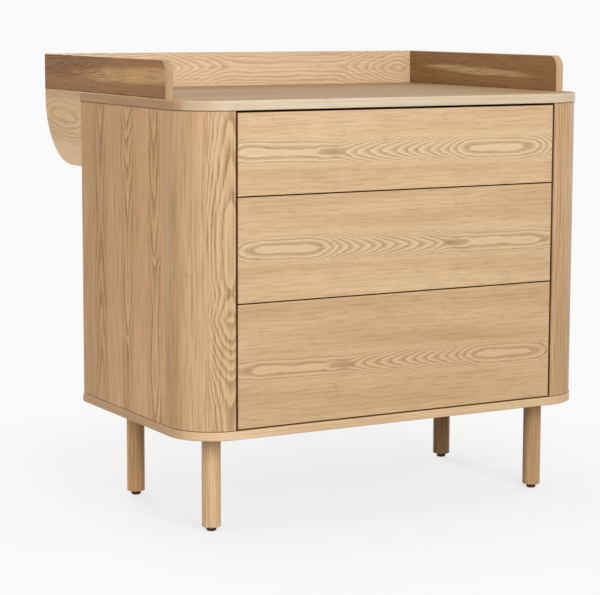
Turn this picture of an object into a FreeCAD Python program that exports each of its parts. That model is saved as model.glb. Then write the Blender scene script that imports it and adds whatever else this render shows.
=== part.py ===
import FreeCAD, Part
import os
import re
import Sketcher

# A chest of three drawers on round legs, with an open changing tray on top that reaches out behind the case.
# Millimetres. +X is to the right, +Y to the rear and +Z up. The origin is on the floor, in the middle of the
# whole chest's width and depth.

# Sizes of the real object, each of which can be changed by itself.
SIZES = {
    # Case
    "width": 980,  # top panel, from side to side
    "depth": 530,  # top panel, from front to rear
    "corner_radius": 100,  # front corners of the top and bottom panels, seen from above
    "overhang": 2,  # how far the top and bottom panels stand out past the case and the drawer fronts
    "top_thickness": 20,
    "top_edge_rounding": 3,
    "bottom_thickness": 18,
    "panel_edge_rounding": 1.5,
    "side_thickness": 18,
    "stile_return": 4,  # flat stretch of the front between a bent corner and the drawer opening
    "stile_edge_rounding": 1,
    "partition_thickness": 18,
    "back_thickness": 12,
    # Legs
    "leg_length": 193,
    "leg_radius": 19.5,
    "leg_edge_rounding": 2,
    "leg_side_inset": 88.5,  # leg's axis from the end of the top panel
    "leg_front_inset": 84,
    "leg_rear_inset": 81,
    "glide_height": 9,
    "glide_radius": 10.5,
    "glide_rounding": 5,
    "glide_pin_radius": 2.5,
    "glide_pin_length": 15,
    "bolt_radius": 4,
    "bolt_in_leg": 50,
    "bolt_cover": 2,  # from the end of a bolt to the upper face of the bottom panel
    "nut_flange_radius": 11,
    "nut_flange_thickness": 1.5,
    "nut_barrel_radius": 5.5,
    "nut_barrel_length": 12,
    # Changing tray
    "tray_reach": 200,  # how far the tray reaches out behind the case
    "rail_thickness": 18,
    "rail_height": 78,
    "rail_setback": 110,  # from the front of the top panel to the front end of a rail
    "rail_corner_radius": 25,
    "rail_edge_rounding": 1.5,
    "bracket_radius": 146,
    "bracket_rise": 16,  # upright stretch of a bracket above its round corner
    "cleat_thickness": 18,
    "cleat_height": 40,
    # Drawer fronts and the gaps round them
    "front_thickness": 18,
    "front_edge_rounding": 1,
    "top_front_height": 165.5,
    "middle_front_height": 212,
    "bottom_front_height": 252,
    "gap_above": 4.5,
    "gap_between": 2.5,
    "gap_below": 3,
    "gap_beside": 3,
    # Drawer boxes
    "box_board": 15,
    "box_raise": 14,  # from the lower edge of a front to the lower edge of its box
    "box_drop": 30,  # from the upper edge of a front to the upper edge of its box
    "box_bottom_thickness": 6,
    "groove_depth": 6,  # how far bottoms, box fronts and backs are let into their neighbours
    "groove_raise": 10,
    # Runners
    "runner_gap": 1,  # left between a drawer front and its runners when the drawer is pressed in
    "runner_width": 12.7,  # between a partition and a box side
    "runner_height": 45,
    "runner_raise": 40,  # from the lower edge of a box to the middle of its runners
    "steel": 1.2,
    "cabinet_member_reach": 9.6,
    "head_clearance": 0.6,  # between the screw heads and the centre member
    "web_clearance": 1.2,  # between the centre member's flanges and the drawer member's web
    "flange_clearance": 0.5,  # between the drawer member's flanges and the centre member's web
    "outer_race": 4,
    "inner_race": 3.2,
    "race_clearance": 0.3,
    "cage_width": 3.6,
    "cage_length": 160,
    "cage_inset": 15,
    # Push latches
    "latch_length": 40,
    "latch_width": 24,
    "latch_height": 16,
    "latch_edge_rounding": 2,
    "latch_flange_width": 52,
    "latch_flange_thickness": 4,
    "plunger_radius": 4.7,
    "plunger_clearance": 0.3,
    "plunger_gap": 0.3,
    "plunger_reach": 8,  # from a latch housing to the back of its drawer
    "plunger_engagement": 24,
    "plunger_tip_rounding": 1,
    "press_travel": 3,
    "latch_room": 3,  # behind the plunger when it is pressed right in
    # Dowels
    "dowel_radius": 4,
    "dowel_length": 30,
    "dowel_in_panel": 12,
    "case_dowel_front_inset": 150,
    "case_dowel_rear_inset": 50,
    "board_dowel_spacing": 300,
    # Screws
    "small_screw_radius": 1.75,
    "small_screw_length": 14,
    "small_head_radius": 3.8,
    "small_head_height": 1.8,
    "small_screw_inset": 35,  # from the end of a runner
    "long_screw_radius": 2,
    "long_head_radius": 4,
    "long_head_height": 2.2,
    "front_screw_cover": 5,  # from the tip of a front screw to the face of the drawer front
    "front_screw_spread": 260,
    "front_screw_rise": 28,
    "back_screw_length": 32,
    "tray_screw_length": 42,
    "tray_screw_rise": 10,
}

# Heights of the rows of screws in the back panel, as shares of the height of the case inside.
BACK_SCREW_SHARES = (0.1, 0.35, 0.6, 0.85)

# How far up its box a latch meets it, as a share of the box's height.
LATCH_SHARE = 0.5

# Where the dowels of the rails, the brackets and the shelf lie behind the case, as shares of the tray's reach.
BRACKET_DOWEL_SHARES = (0.2, 0.8)
SHELF_DOWEL_SHARES = (0.4, 0.6)

# Places and sizes that follow from the sizes above. Heights are above the floor.
PLACES = {
    "front": "-(depth + tray_reach) / 2",
    "case_front": "front + overhang",
    "case_rear": "front + depth",
    "tray_rear": "case_rear + tray_reach",
    "back_face": "case_rear - back_thickness",
    "box_start": "case_front + front_thickness",
    "latch_front": "back_face - latch_length",
    "box_rear": "latch_front - plunger_reach",
    "box_depth": "box_rear - box_start",
    "side_outside": "width / 2 - overhang",
    "side_inside": "side_outside - side_thickness",
    "side_middle": "side_outside - side_thickness / 2",
    "half_opening": "width / 2 - corner_radius - stile_return",
    "partition_middle": "half_opening + partition_thickness / 2",
    "leg_across": "width / 2 - leg_side_inset",
    "rail_inside": "side_outside - rail_thickness",
    "rail_middle": "side_outside - rail_thickness / 2",
    "rail_front": "front + rail_setback",
    "leg_top": "glide_height + leg_length",
    "case_bottom": "leg_top + bottom_thickness",
    "opening_height": "gap_below + bottom_front_height + gap_between + middle_front_height"
                      " + gap_between + top_front_height + gap_above",
    "case_top": "case_bottom + opening_height",
    "surface": "case_top + top_thickness",
    "bottom_front_low": "case_bottom + gap_below",
    "middle_front_low": "bottom_front_low + bottom_front_height + gap_between",
    "top_front_low": "middle_front_low + middle_front_height + gap_between",
    "half_front": "half_opening - gap_beside",
    "half_box": "half_opening - runner_width",
    "half_box_inside": "half_box - box_board",
    "bracket_height": "bracket_radius + bracket_rise",
    "runner_setback": "press_travel + runner_gap",
    "runner_front": "box_start + runner_setback",
    "runner_length": "box_depth - 2 * runner_setback",
    "centre_member_start": "steel + small_head_height + head_clearance",
    "centre_member_reach": "runner_width - steel - web_clearance - centre_member_start",
    "drawer_member_reach": "runner_width - centre_member_start - steel - flange_clearance",
    "centre_member_height": "runner_height - 2 * steel - 2 * outer_race",
    "drawer_member_height": "centre_member_height - 2 * steel - 2 * inner_race",
    "latch_screw_spread": "(latch_width + latch_flange_width) / 4",
    "plunger_tip": "box_rear + plunger_gap",
    "case_dowel_front": "case_front + case_dowel_front_inset",
    "case_dowel_rear": "case_rear - case_dowel_rear_inset",
    "case_dowel_middle": "(case_dowel_front + case_dowel_rear) / 2",
    "rail_dowel_front": "(case_dowel_front + case_dowel_middle) / 2",
    "rail_dowel_rear": "(case_dowel_middle + case_dowel_rear) / 2",
    "front_screw_length": "box_board + front_thickness - front_screw_cover",
}

# How near two lengths count as the same when an edge is looked up.
SAME = 1e-4

LEVELS = ("top", "middle", "bottom")

doc = FreeCAD.newDocument("chest_of_drawers")
sheet = doc.addObject("Spreadsheet::Sheet", "Sizes")
for row, (alias, size) in enumerate(SIZES.items(), 1):
    sheet.set(f"A{row}", alias)
    sheet.set(f"B{row}", str(size))
    sheet.setAlias(f"B{row}", alias)
doc.recompute()

nodes = {}


def bound(formula):
    """The formula with each name replaced by its cell in the sheet, or by the place that it stands for."""
    def spelled(match):
        name = match.group()
        return f"({bound(PLACES[name])})" if name in PLACES else f"Sizes.{name}"
    return re.sub(r"[a-z]\w*", spelled, formula)


def value(formula):
    """What the formula comes to now."""
    return float(sheet.evalExpression(bound(formula)))


def bind(item, field, formula):
    """Tie one property of an object to the sheet."""
    item.setExpression(field, bound(formula))


def place(item, across="0", along="0", up="0"):
    """Tie an object's place to the sheet."""
    bind(item, "Placement.Base.x", across)
    bind(item, "Placement.Base.y", along)
    bind(item, "Placement.Base.z", up)


def keep(name, item):
    """Make the object a node of the finished chest."""
    item.Label = name
    nodes[name] = item
    return item


def block(name, across, along, up, width, depth, height):
    """A plain board from its lowest corner and its three sizes."""
    box = doc.addObject("Part::Box", name)
    bind(box, "Length", width)
    bind(box, "Width", depth)
    bind(box, "Height", height)
    place(box, across, along, up)
    return box


def new_body(name):
    """An empty body that may hold several separate solids."""
    body = doc.addObject("PartDesign::Body", name)
    body.AllowCompound = True
    return body


def new_sketch(body, plane, offset="0"):
    """A sketch on one of the body's own planes, moved along that plane's normal."""
    sketch = body.newObject("Sketcher::SketchObject", f"{body.Name}_sketch")
    support = next(item for item in body.Origin.OriginFeatures if item.Role == plane)
    sketch.AttachmentSupport = [(support, "")]
    sketch.MapMode = "FlatFace"
    bind(sketch, "AttachmentOffset.Base.z", offset)
    return sketch


def dimension(sketch, kind, geometry, formula):
    """Add one dimension to a sketch and tie it to the sheet."""
    index = sketch.addConstraint(Sketcher.Constraint(kind, *geometry, value(formula)))
    bind(sketch, f"Constraints[{index}]", formula)


def outline_sketch(body, plane, corners, offset="0"):
    """A closed outline of straight lines through corners, each given by two formulas."""
    sketch = new_sketch(body, plane, offset)
    points = [FreeCAD.Vector(value(across), value(up), 0) for across, up in corners]
    for start, end in zip(points, points[1:] + points[:1]):
        sketch.addGeometry(Part.LineSegment(start, end))
    last = len(corners) - 1
    for index, (across, up) in enumerate(corners):
        before = index - 1 if index else last
        sketch.addConstraint(Sketcher.Constraint("Coincident", before, 2, index, 1))
        dimension(sketch, "DistanceX", (-1, 1, index, 1), across)
        dimension(sketch, "DistanceY", (-1, 1, index, 1), up)
    return sketch


def circles_sketch(body, plane, centres, radius, offset="0"):
    """Equal circles at centres, each given by two formulas."""
    sketch = new_sketch(body, plane, offset)
    normal = FreeCAD.Vector(0, 0, 1)
    for across, up in centres:
        centre = FreeCAD.Vector(value(across), value(up), 0)
        index = sketch.addGeometry(Part.Circle(centre, normal, value(radius)))
        dimension(sketch, "Radius", (index,), radius)
        dimension(sketch, "DistanceX", (-1, 1, index, 3), across)
        dimension(sketch, "DistanceY", (-1, 1, index, 3), up)
    return sketch


def add_pad(body, sketch, length, backwards=False):
    """Raise a sketch into a solid along its plane's normal, or against it."""
    pad = body.newObject("PartDesign::Pad", f"{body.Name}_pad")
    pad.Profile = sketch
    pad.Reversed = backwards
    bind(pad, "Length", length)
    return pad


def lies_at(edge, across=None, along=None, up=None):
    """Whether an edge lies at the given coordinates of its body, from end to end."""
    points = [vertex.Point for vertex in edge.Vertexes]
    points.append(edge.valueAt(sum(edge.ParameterRange) / 2))
    for axis, formula in enumerate((across, along, up)):
        if formula is None:
            continue
        wanted = value(formula)
        if any(abs(point[axis] - wanted) > SAME for point in points):
            return False
    return True


def round_edges(body, radius, chosen):
    """Round the edges of the body's last feature that the test chooses."""
    doc.recompute()
    base = body.Tip
    names = [f"Edge{number}" for number, edge in enumerate(base.Shape.Edges, 1) if chosen(edge)]
    fillet = body.newObject("PartDesign::Fillet", f"{body.Name}_fillet")
    fillet.Base = (base, names)
    bind(fillet, "Radius", radius)
    doc.recompute()


def add_studs(body, plane, centres, radius, length, offset="0", backwards=False):
    """Equal round bars on one plane of the body."""
    sketch = circles_sketch(body, plane, centres, radius, offset)
    return add_pad(body, sketch, length, backwards)


def add_screws(body, plane, centres, size, length, offset="0", backwards=False):
    """Screws whose shanks run along the plane's normal, or against it, with their heads on the plane."""
    add_studs(body, plane, centres, f"{size}_screw_radius", length, offset, backwards)
    add_studs(body, plane, centres, f"{size}_head_radius", f"{size}_head_height", offset, not backwards)


def cut_by(name, blank, *tools):
    """The blank with room cut for each thing that enters it."""
    for tool in tools:
        cut = doc.addObject("Part::Cut", f"{name}_cut")
        cut.Base = blank
        cut.Tool = tool
        blank = cut
    return blank


def mirrored(name, source):
    """The same piece for the other side of the chest."""
    mirror = doc.addObject("Part::Mirroring", f"{name}_mirror")
    mirror.Source = source
    mirror.Normal = FreeCAD.Vector(1, 0, 0)
    return mirror


def grouped(name, *members):
    """Separate solids under one name."""
    group = doc.addObject("Part::Compound", f"{name}_group")
    group.Links = list(members)
    return group


def keep_pair(name, left):
    """Keep a left-hand piece and its mirror image as two nodes."""
    keep(f"{name}_left", left)
    keep(f"{name}_right", mirrored(name, left))


def both_sides(across, others):
    """Centres at the same places on the left and on the right."""
    return [(side, other) for other in others for side in (f"-({across})", across)]


def rounded_panel(name, up, thickness, upper_rounding):
    """The top or bottom panel: rounded front corners, and eased edges along the front and sides."""
    body = new_body(f"{name}_blank")
    corners = [("-width / 2", "0"), ("width / 2", "0"), ("width / 2", "depth"), ("-width / 2", "depth")]
    add_pad(body, outline_sketch(body, "XY_Plane", corners), thickness)
    round_edges(body, "corner_radius", lambda edge: lies_at(edge, along="0") and not lies_at(edge, up="0")
                and not lies_at(edge, up=thickness))
    round_edges(body, upper_rounding, lambda edge: lies_at(edge, up=thickness)
                and not lies_at(edge, along="depth"))
    round_edges(body, "panel_edge_rounding", lambda edge: lies_at(edge, up="0")
                and not lies_at(edge, along="depth"))
    place(body, along="front", up=up)
    return body


def side_panel_blank():
    """The left side panel, whose front corner is bent round to the drawer opening."""
    body = new_body("side_panel_blank")
    reach = "side_outside - half_opening"
    run = "depth - overhang"
    corners = [("0", "0"), (reach, "0"), (reach, "side_thickness"), ("side_thickness", "side_thickness"),
               ("side_thickness", run), ("0", run)]
    add_pad(body, outline_sketch(body, "XY_Plane", corners), "opening_height")
    round_edges(body, "corner_radius - overhang", lambda edge: lies_at(edge, across="0", along="0"))
    round_edges(body, "corner_radius - overhang - side_thickness",
                lambda edge: lies_at(edge, across="side_thickness", along="side_thickness"))
    round_edges(body, "stile_edge_rounding", lambda edge: lies_at(edge, across=reach, along="0"))
    place(body, "-side_outside", "case_front", "case_bottom")
    return body


def build_case(dowels, back_screws, tray_screws, small_screws, bolts, nuts):
    """Top, bottom, sides, partitions and back. The partitions are scribed to the inside of the bent sides."""
    top = rounded_panel("top_panel", "case_top", "top_thickness", "top_edge_rounding")
    keep("top_panel", cut_by("top_panel", top, dowels))
    bottom = rounded_panel("bottom_panel", "leg_top", "bottom_thickness", "panel_edge_rounding")
    keep("bottom_panel", cut_by("bottom_panel", bottom, dowels, bolts, nuts))
    side = side_panel_blank()
    keep_pair("side_panel", cut_by("side_panel", side, dowels))
    partition = block("partition_blank", "-half_opening - partition_thickness", "box_start", "case_bottom",
                      "partition_thickness", "back_face - box_start", "opening_height")
    tools = (side, dowels, back_screws, tray_screws, small_screws)
    keep_pair("partition", cut_by("partition", partition, *tools))
    back = block("back_blank", "-side_inside", "back_face", "case_bottom",
                 "2 * side_inside", "back_thickness", "opening_height")
    keep("back_panel", cut_by("back_panel", back, back_screws, tray_screws, small_screws))


def leg_places():
    """Each leg's name and the place of its axis."""
    for side, across in (("left", "-leg_across"), ("right", "leg_across")):
        yield f"leg_front_{side}", across, "front + leg_front_inset"
        yield f"leg_rear_{side}", across, "case_rear - leg_rear_inset"


def build_leg_fittings():
    """Glides under the legs, and the bolts and nuts that hold the legs to the bottom panel."""
    centres = [(across, along) for name, across, along in leg_places()]
    glides = new_body("glides_body")
    add_studs(glides, "XY_Plane", centres, "glide_radius", "glide_height")
    round_edges(glides, "glide_rounding", lambda edge: lies_at(edge, up="0"))
    add_studs(glides, "XY_Plane", centres, "glide_pin_radius", "glide_pin_length", "glide_height")
    bolts = new_body("bolts_body")
    add_studs(bolts, "XY_Plane", centres, "bolt_radius", "bolt_in_leg + bottom_thickness - bolt_cover",
              "leg_top - bolt_in_leg")
    nuts = new_body("nuts_body")
    add_studs(nuts, "XY_Plane", centres, "nut_flange_radius", "nut_flange_thickness",
              "case_bottom - nut_flange_thickness")
    add_studs(nuts, "XY_Plane", centres, "nut_barrel_radius", "nut_barrel_length",
              "case_bottom - nut_flange_thickness", backwards=True)
    keep("leg_glides", glides)
    keep("leg_bolts", bolts)
    keep("leg_tee_nuts", cut_by("nuts", nuts, bolts))
    return glides, bolts, nuts


def build_legs(glides, bolts):
    """Four round legs, bored for their bolts and for the pins of their glides."""
    for name, across, along in leg_places():
        body = new_body(f"{name}_blank")
        add_studs(body, "XY_Plane", [("0", "0")], "leg_radius", "leg_length")
        round_edges(body, "leg_edge_rounding", lambda edge: lies_at(edge, up="0"))
        place(body, across, along, "glide_height")
        keep(name, cut_by(name, body, bolts, glides))


def build_dowels():
    """Every wood dowel of the case and the tray."""
    dowels = new_body("dowels_body")
    rows = ("case_dowel_front", "case_dowel_middle", "case_dowel_rear")
    case_centres = both_sides("side_middle", rows) + both_sides("partition_middle", rows)
    add_studs(dowels, "XY_Plane", case_centres, "dowel_radius", "dowel_length",
              "case_bottom - dowel_in_panel")
    cleat_row = "case_rear + cleat_thickness / 2"
    cleat_centres = both_sides("board_dowel_spacing", [cleat_row]) + [("0", cleat_row)]
    add_studs(dowels, "XY_Plane", case_centres + cleat_centres, "dowel_radius", "dowel_length",
              "case_top + dowel_in_panel - dowel_length")
    rail_rows = ["rail_dowel_front", "rail_dowel_rear"]
    rail_rows += [f"case_rear + tray_reach * {share}" for share in BRACKET_DOWEL_SHARES]
    board_row = "tray_rear - rail_thickness / 2"
    tray_centres = both_sides("rail_middle", rail_rows) + both_sides("board_dowel_spacing", [board_row])
    add_studs(dowels, "XY_Plane", tray_centres + [("0", board_row)], "dowel_radius", "dowel_length",
              "surface - dowel_in_panel")
    shelf_height = "case_top + top_thickness / 2"
    shelf_centres = [(f"case_rear + tray_reach * {share}", shelf_height) for share in SHELF_DOWEL_SHARES]
    add_studs(dowels, "YZ_Plane", shelf_centres, "dowel_radius", "dowel_length",
              "rail_inside + dowel_in_panel - dowel_length")
    add_studs(dowels, "YZ_Plane", shelf_centres, "dowel_radius", "dowel_length",
              "-(rail_inside + dowel_in_panel)")
    return keep("dowels", dowels)


def build_tray(dowels, tray_screws):
    """Two rails, two brackets, back board, shelf and cleat."""
    run = "tray_rear - rail_front"
    rail = new_body("tray_rail_blank")
    corners = [("0", "0"), (run, "0"), (run, "rail_height"), ("0", "rail_height")]
    add_pad(rail, outline_sketch(rail, "YZ_Plane", corners), "rail_thickness")
    round_edges(rail, "rail_corner_radius", lambda edge: lies_at(edge, along="0", up="rail_height"))
    round_edges(rail, "rail_edge_rounding", lambda edge: not lies_at(edge, up="0")
                and not lies_at(edge, along=run)
                and (lies_at(edge, across="0") or lies_at(edge, across="rail_thickness")))
    place(rail, "-side_outside", "rail_front", "surface")
    keep_pair("tray_rail", cut_by("tray_rail", rail, dowels))

    bracket = new_body("tray_bracket_blank")
    corners = [("0", "0"), ("tray_reach", "0"), ("tray_reach", "bracket_height"), ("0", "bracket_height")]
    add_pad(bracket, outline_sketch(bracket, "YZ_Plane", corners), "rail_thickness")
    round_edges(bracket, "bracket_radius", lambda edge: lies_at(edge, along="tray_reach", up="0"))
    round_edges(bracket, "rail_edge_rounding", lambda edge: not lies_at(edge, up="bracket_height")
                and not lies_at(edge, along="0")
                and (lies_at(edge, across="0") or lies_at(edge, across="rail_thickness")))
    place(bracket, "-side_outside", "case_rear", "surface - bracket_height")
    keep_pair("tray_bracket", cut_by("tray_bracket", bracket, dowels))

    board = new_body("tray_back_board_blank")
    corners = [("-rail_inside", "0"), ("rail_inside", "0"), ("rail_inside", "rail_height"),
               ("-rail_inside", "rail_height")]
    add_pad(board, outline_sketch(board, "XZ_Plane", corners), "rail_thickness")
    round_edges(board, "rail_edge_rounding", lambda edge: lies_at(edge, up="rail_height")
                and (lies_at(edge, along="0") or lies_at(edge, along="-rail_thickness")))
    place(board, along="tray_rear", up="surface")
    keep("tray_back_board", cut_by("tray_back_board", board, dowels))

    shelf = block("tray_shelf_blank", "-rail_inside", "case_rear", "case_top",
                  "2 * rail_inside", "tray_reach", "top_thickness")
    keep("tray_shelf", cut_by("tray_shelf", shelf, dowels))
    cleat = block("tray_cleat_blank", "-rail_inside", "case_rear", "case_top - cleat_height",
                  "2 * rail_inside", "cleat_thickness", "cleat_height")
    keep("tray_cleat", cut_by("tray_cleat", cleat, dowels, tray_screws))


def box_low(level):
    """Height of the lower edge of a drawer's box."""
    return f"{level}_front_low + box_raise"


def box_height(level):
    """Height of a drawer's box by itself."""
    return f"({level}_front_height - box_raise - box_drop)"


def runner_middle(level):
    """Height of the middle of a drawer's runners."""
    return f"{box_low(level)} + runner_raise"


def latch_middle(level):
    """Height at which a drawer's latch meets its box."""
    return f"{box_low(level)} + {box_height(level)} * {LATCH_SHARE}"


def build_back_screws():
    """Screws through the back panel into the partitions."""
    screws = new_body("back_screws_body")
    rows = [f"case_bottom + opening_height * {share}" for share in BACK_SCREW_SHARES]
    add_screws(screws, "XZ_Plane", both_sides("partition_middle", rows), "long", "back_screw_length",
               "-(case_rear)")
    return keep("back_screws", screws)


def build_tray_screws():
    """Screws through the cleat and the back panel into the partitions."""
    screws = new_body("tray_screws_body")
    rows = [f"case_top - cleat_height / 2 {sign} tray_screw_rise" for sign in "-+"]
    add_screws(screws, "XZ_Plane", both_sides("partition_middle", rows), "long", "tray_screw_length",
               "-(case_rear + cleat_thickness)")
    return keep("tray_screws", screws)


def build_small_screws():
    """Screws that hold the cabinet members to the partitions, and the latch housings to the back panel."""
    left = new_body("cabinet_screws_body")
    runner_ends = ("runner_front + small_screw_inset", "runner_front + runner_length - small_screw_inset")
    centres = [(end, runner_middle(level)) for level in LEVELS for end in runner_ends]
    add_screws(left, "YZ_Plane", centres, "small", "small_screw_length", "steel - half_opening",
               backwards=True)
    latch = new_body("latch_screws_body")
    heights = [latch_middle(level) for level in LEVELS]
    add_screws(latch, "XZ_Plane", both_sides("latch_screw_spread", heights), "small", "small_screw_length",
               "latch_flange_thickness - (back_face)", backwards=True)
    return keep("small_screws", grouped("small_screws", left, mirrored("cabinet_screws", left), latch))


def channel(name, level, web, sign, reach, height):
    """A left-hand steel channel of a runner: its web's outer face, and the way its two flanges point."""
    body = new_body(name)
    inner = f"{web} {sign} steel"
    tip = f"{web} {sign} {reach}"
    high = f"({height}) / 2"
    low = f"-({height}) / 2"
    corners = [(web, low), (tip, low), (tip, f"{low} + steel"), (inner, f"{low} + steel"),
               (inner, f"{high} - steel"), (tip, f"{high} - steel"), (tip, high), (web, high)]
    add_pad(body, outline_sketch(body, "XZ_Plane", corners), "runner_length", backwards=True)
    place(body, "-half_opening", "runner_front", runner_middle(level))
    return body


def ball_cages(level):
    """The ball cages of a left-hand runner, two in each race: rear ones outside, front ones inside."""
    cages = []
    races = (
        ("outer", "centre_member_height / 2", "runner_front + runner_length - cage_inset - cage_length"),
        ("inner", "drawer_member_height / 2 + race_clearance", "runner_front + cage_inset"),
    )
    across = "centre_member_start + steel - half_opening"
    for race, low, along in races:
        thickness = f"{race}_race - race_clearance"
        for side, up in (("upper", low), ("lower", f"-({low}) - ({thickness})")):
            cages.append(block(f"{level}_{race}_{side}_cage", across, along,
                               f"{runner_middle(level)} + {up}", "cage_width", "cage_length", thickness))
    return cages


def build_cabinet_members(small_screws):
    """The fixed members of all six runners."""
    members = [channel(f"{level}_cabinet_member", level, "0", "+", "cabinet_member_reach", "runner_height")
               for level in LEVELS]
    left = cut_by("cabinet_members", grouped("cabinet_members", *members), small_screws)
    keep("runner_cabinet_members", grouped("runner_cabinet", left, mirrored("runner_cabinet", left)))


def build_centre_members(level):
    """The members that move half as far as the drawer, with their ball cages."""
    member = channel(f"{level}_centre_member", level, "centre_member_start", "+", "centre_member_reach",
                     "centre_member_height")
    left = grouped(f"{level}_centre_left", member, *ball_cages(level))
    keep(f"{level}_centre_members", grouped(f"{level}_centre", left, mirrored(f"{level}_centre", left)))


def build_drawer_members(level):
    """The runner members that travel with the drawer, and their screws."""
    screws = new_body(f"{level}_member_screws_body")
    ends = ("runner_front + small_screw_inset", "runner_front + runner_length - small_screw_inset")
    centres = [(end, runner_middle(level)) for end in ends]
    add_screws(screws, "YZ_Plane", centres, "small", "small_screw_length", "-(half_box) - steel")
    member = channel(f"{level}_drawer_member", level, "runner_width", "-", "drawer_member_reach",
                     "drawer_member_height")
    left = cut_by(f"{level}_drawer_member", member, screws)
    keep(f"{level}_drawer_members", grouped(f"{level}_members", left, mirrored(f"{level}_members", left)))
    other = mirrored(f"{level}_member_screws", screws)
    keep(f"{level}_member_screws", grouped(f"{level}_member_screws", screws, other))
    return screws


def build_drawer(level):
    """Front, box and front screws of one drawer."""
    front_low = f"{level}_front_low"
    front_height = f"{level}_front_height"
    low = box_low(level)
    height = box_height(level)
    screws = new_body(f"{level}_front_screws_body")
    rows = [f"{low} + {height} / 2 {sign} front_screw_rise" for sign in "-+"]
    add_screws(screws, "XZ_Plane", both_sides("front_screw_spread", rows), "long", "front_screw_length",
               "-(box_start + box_board)")
    keep(f"{level}_front_screws", screws)

    front = new_body(f"{level}_front_blank")
    corners = [("-half_front", "0"), ("half_front", "0"), ("half_front", front_height),
               ("-half_front", front_height)]
    add_pad(front, outline_sketch(front, "XZ_Plane", corners), "front_thickness")
    round_edges(front, "front_edge_rounding", lambda edge: lies_at(edge, along="-front_thickness"))
    place(front, along="box_start", up=front_low)
    keep(f"{level}_drawer_front", cut_by(f"{level}_front", front, screws))

    bottom = block(f"{level}_bottom_board", "-half_box_inside - groove_depth",
                   "box_start + box_board - groove_depth", f"{low} + groove_raise",
                   "2 * (half_box_inside + groove_depth)", "box_depth - 2 * (box_board - groove_depth)",
                   "box_bottom_thickness")
    keep(f"{level}_drawer_bottom", bottom)
    ends = {}
    for end, along in (("box_front", "box_start"), ("back", "box_rear - box_board")):
        board = block(f"{level}_{end}_blank", "-half_box_inside - groove_depth", along, low,
                      "2 * (half_box_inside + groove_depth)", "box_board", height)
        ends[end] = cut_by(f"{level}_{end}", board, bottom)
    box_front = cut_by(f"{level}_box_front", ends["box_front"], screws)
    keep(f"{level}_drawer_box_front", box_front)
    keep(f"{level}_drawer_back", ends["back"])
    member_screws = build_drawer_members(level)
    side = block(f"{level}_side_blank", "-half_box", "box_start", low, "box_board", "box_depth", height)
    left = cut_by(f"{level}_side", side, bottom, ends["box_front"], ends["back"], member_screws)
    keep_pair(f"{level}_drawer_side", left)


def build_latches(small_screws):
    """Push latches on the back panel, one behind each drawer: fixed housings and travelling plungers."""
    housings = []
    for level in LEVELS:
        housing = new_body(f"{level}_latch_housing")
        for width, length in (("latch_width", "latch_length"),
                              ("latch_flange_width", "latch_flange_thickness")):
            corners = [(f"{side}{width} / 2", f"{rise}latch_height / 2")
                       for side, rise in (("-", "-"), ("", "-"), ("", ""), ("-", ""))]
            add_pad(housing, outline_sketch(housing, "XZ_Plane", corners), length)
        round_edges(housing, "latch_edge_rounding", lambda edge: lies_at(edge, along="-latch_length"))
        bore = circles_sketch(housing, "XZ_Plane", [("0", "0")], "plunger_radius + plunger_clearance",
                              "latch_length")
        solid_volume = housing.Shape.Volume
        pocket = housing.newObject("PartDesign::Pocket", f"{level}_latch_bore")
        pocket.Profile = bore
        bind(pocket, "Length", "plunger_engagement + press_travel + latch_room")
        doc.recompute()
        if housing.Shape.Volume >= solid_volume:
            raise RuntimeError(f"the bore of the {level} latch cuts nothing")
        place(housing, along="back_face", up=latch_middle(level))
        housings.append(housing)

        plunger = new_body(f"{level}_plunger")
        add_studs(plunger, "XZ_Plane", [("0", "0")], "plunger_radius",
                  "plunger_reach - plunger_gap + plunger_engagement", backwards=True)
        round_edges(plunger, "plunger_tip_rounding", lambda edge: lies_at(edge, along="0"))
        place(plunger, along="plunger_tip", up=latch_middle(level))
        keep(f"{level}_latch_plunger", plunger)
    keep("latch_housings", cut_by("latch_housings", grouped("latch_housings", *housings), small_screws))


def build_chest():
    """Every piece, with the fasteners first, because the boards are drilled for them."""
    dowels = build_dowels()
    back_screws = build_back_screws()
    tray_screws = build_tray_screws()
    small_screws = build_small_screws()
    glides, bolts, nuts = build_leg_fittings()
    build_legs(glides, bolts)
    build_case(dowels, back_screws, tray_screws, small_screws, bolts, nuts)
    build_tray(dowels, tray_screws)
    build_cabinet_members(small_screws)
    for level in LEVELS:
        build_centre_members(level)
        build_drawer(level)
    build_latches(small_screws)


def check_and_write():
    """Stop at any object that failed, then write each node's shape to its own file."""
    doc.recompute()
    for item in doc.Objects:
        if "Invalid" in item.State or "Error" in item.State:
            raise RuntimeError(f"{item.Name} failed: {item.State}")
    os.makedirs("parts", exist_ok=True)
    for name, item in nodes.items():
        if item.Label != name:
            raise RuntimeError(f"{name} is labelled {item.Label}")
        if item.Shape.isNull() or not item.Shape.isValid():
            raise RuntimeError(f"{name} has no valid shape")
    for name, item in nodes.items():
        item.Shape.exportStep(f"parts/{name}.step")
        print(f"{name}: {len(item.Shape.Solids)} solids, {item.Shape.Volume:.0f} cubic mm")
    print(f"{len(nodes)} nodes")


build_chest()
check_and_write()
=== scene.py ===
import math

import bmesh
import bpy
from mathutils import Matrix, Vector


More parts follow.
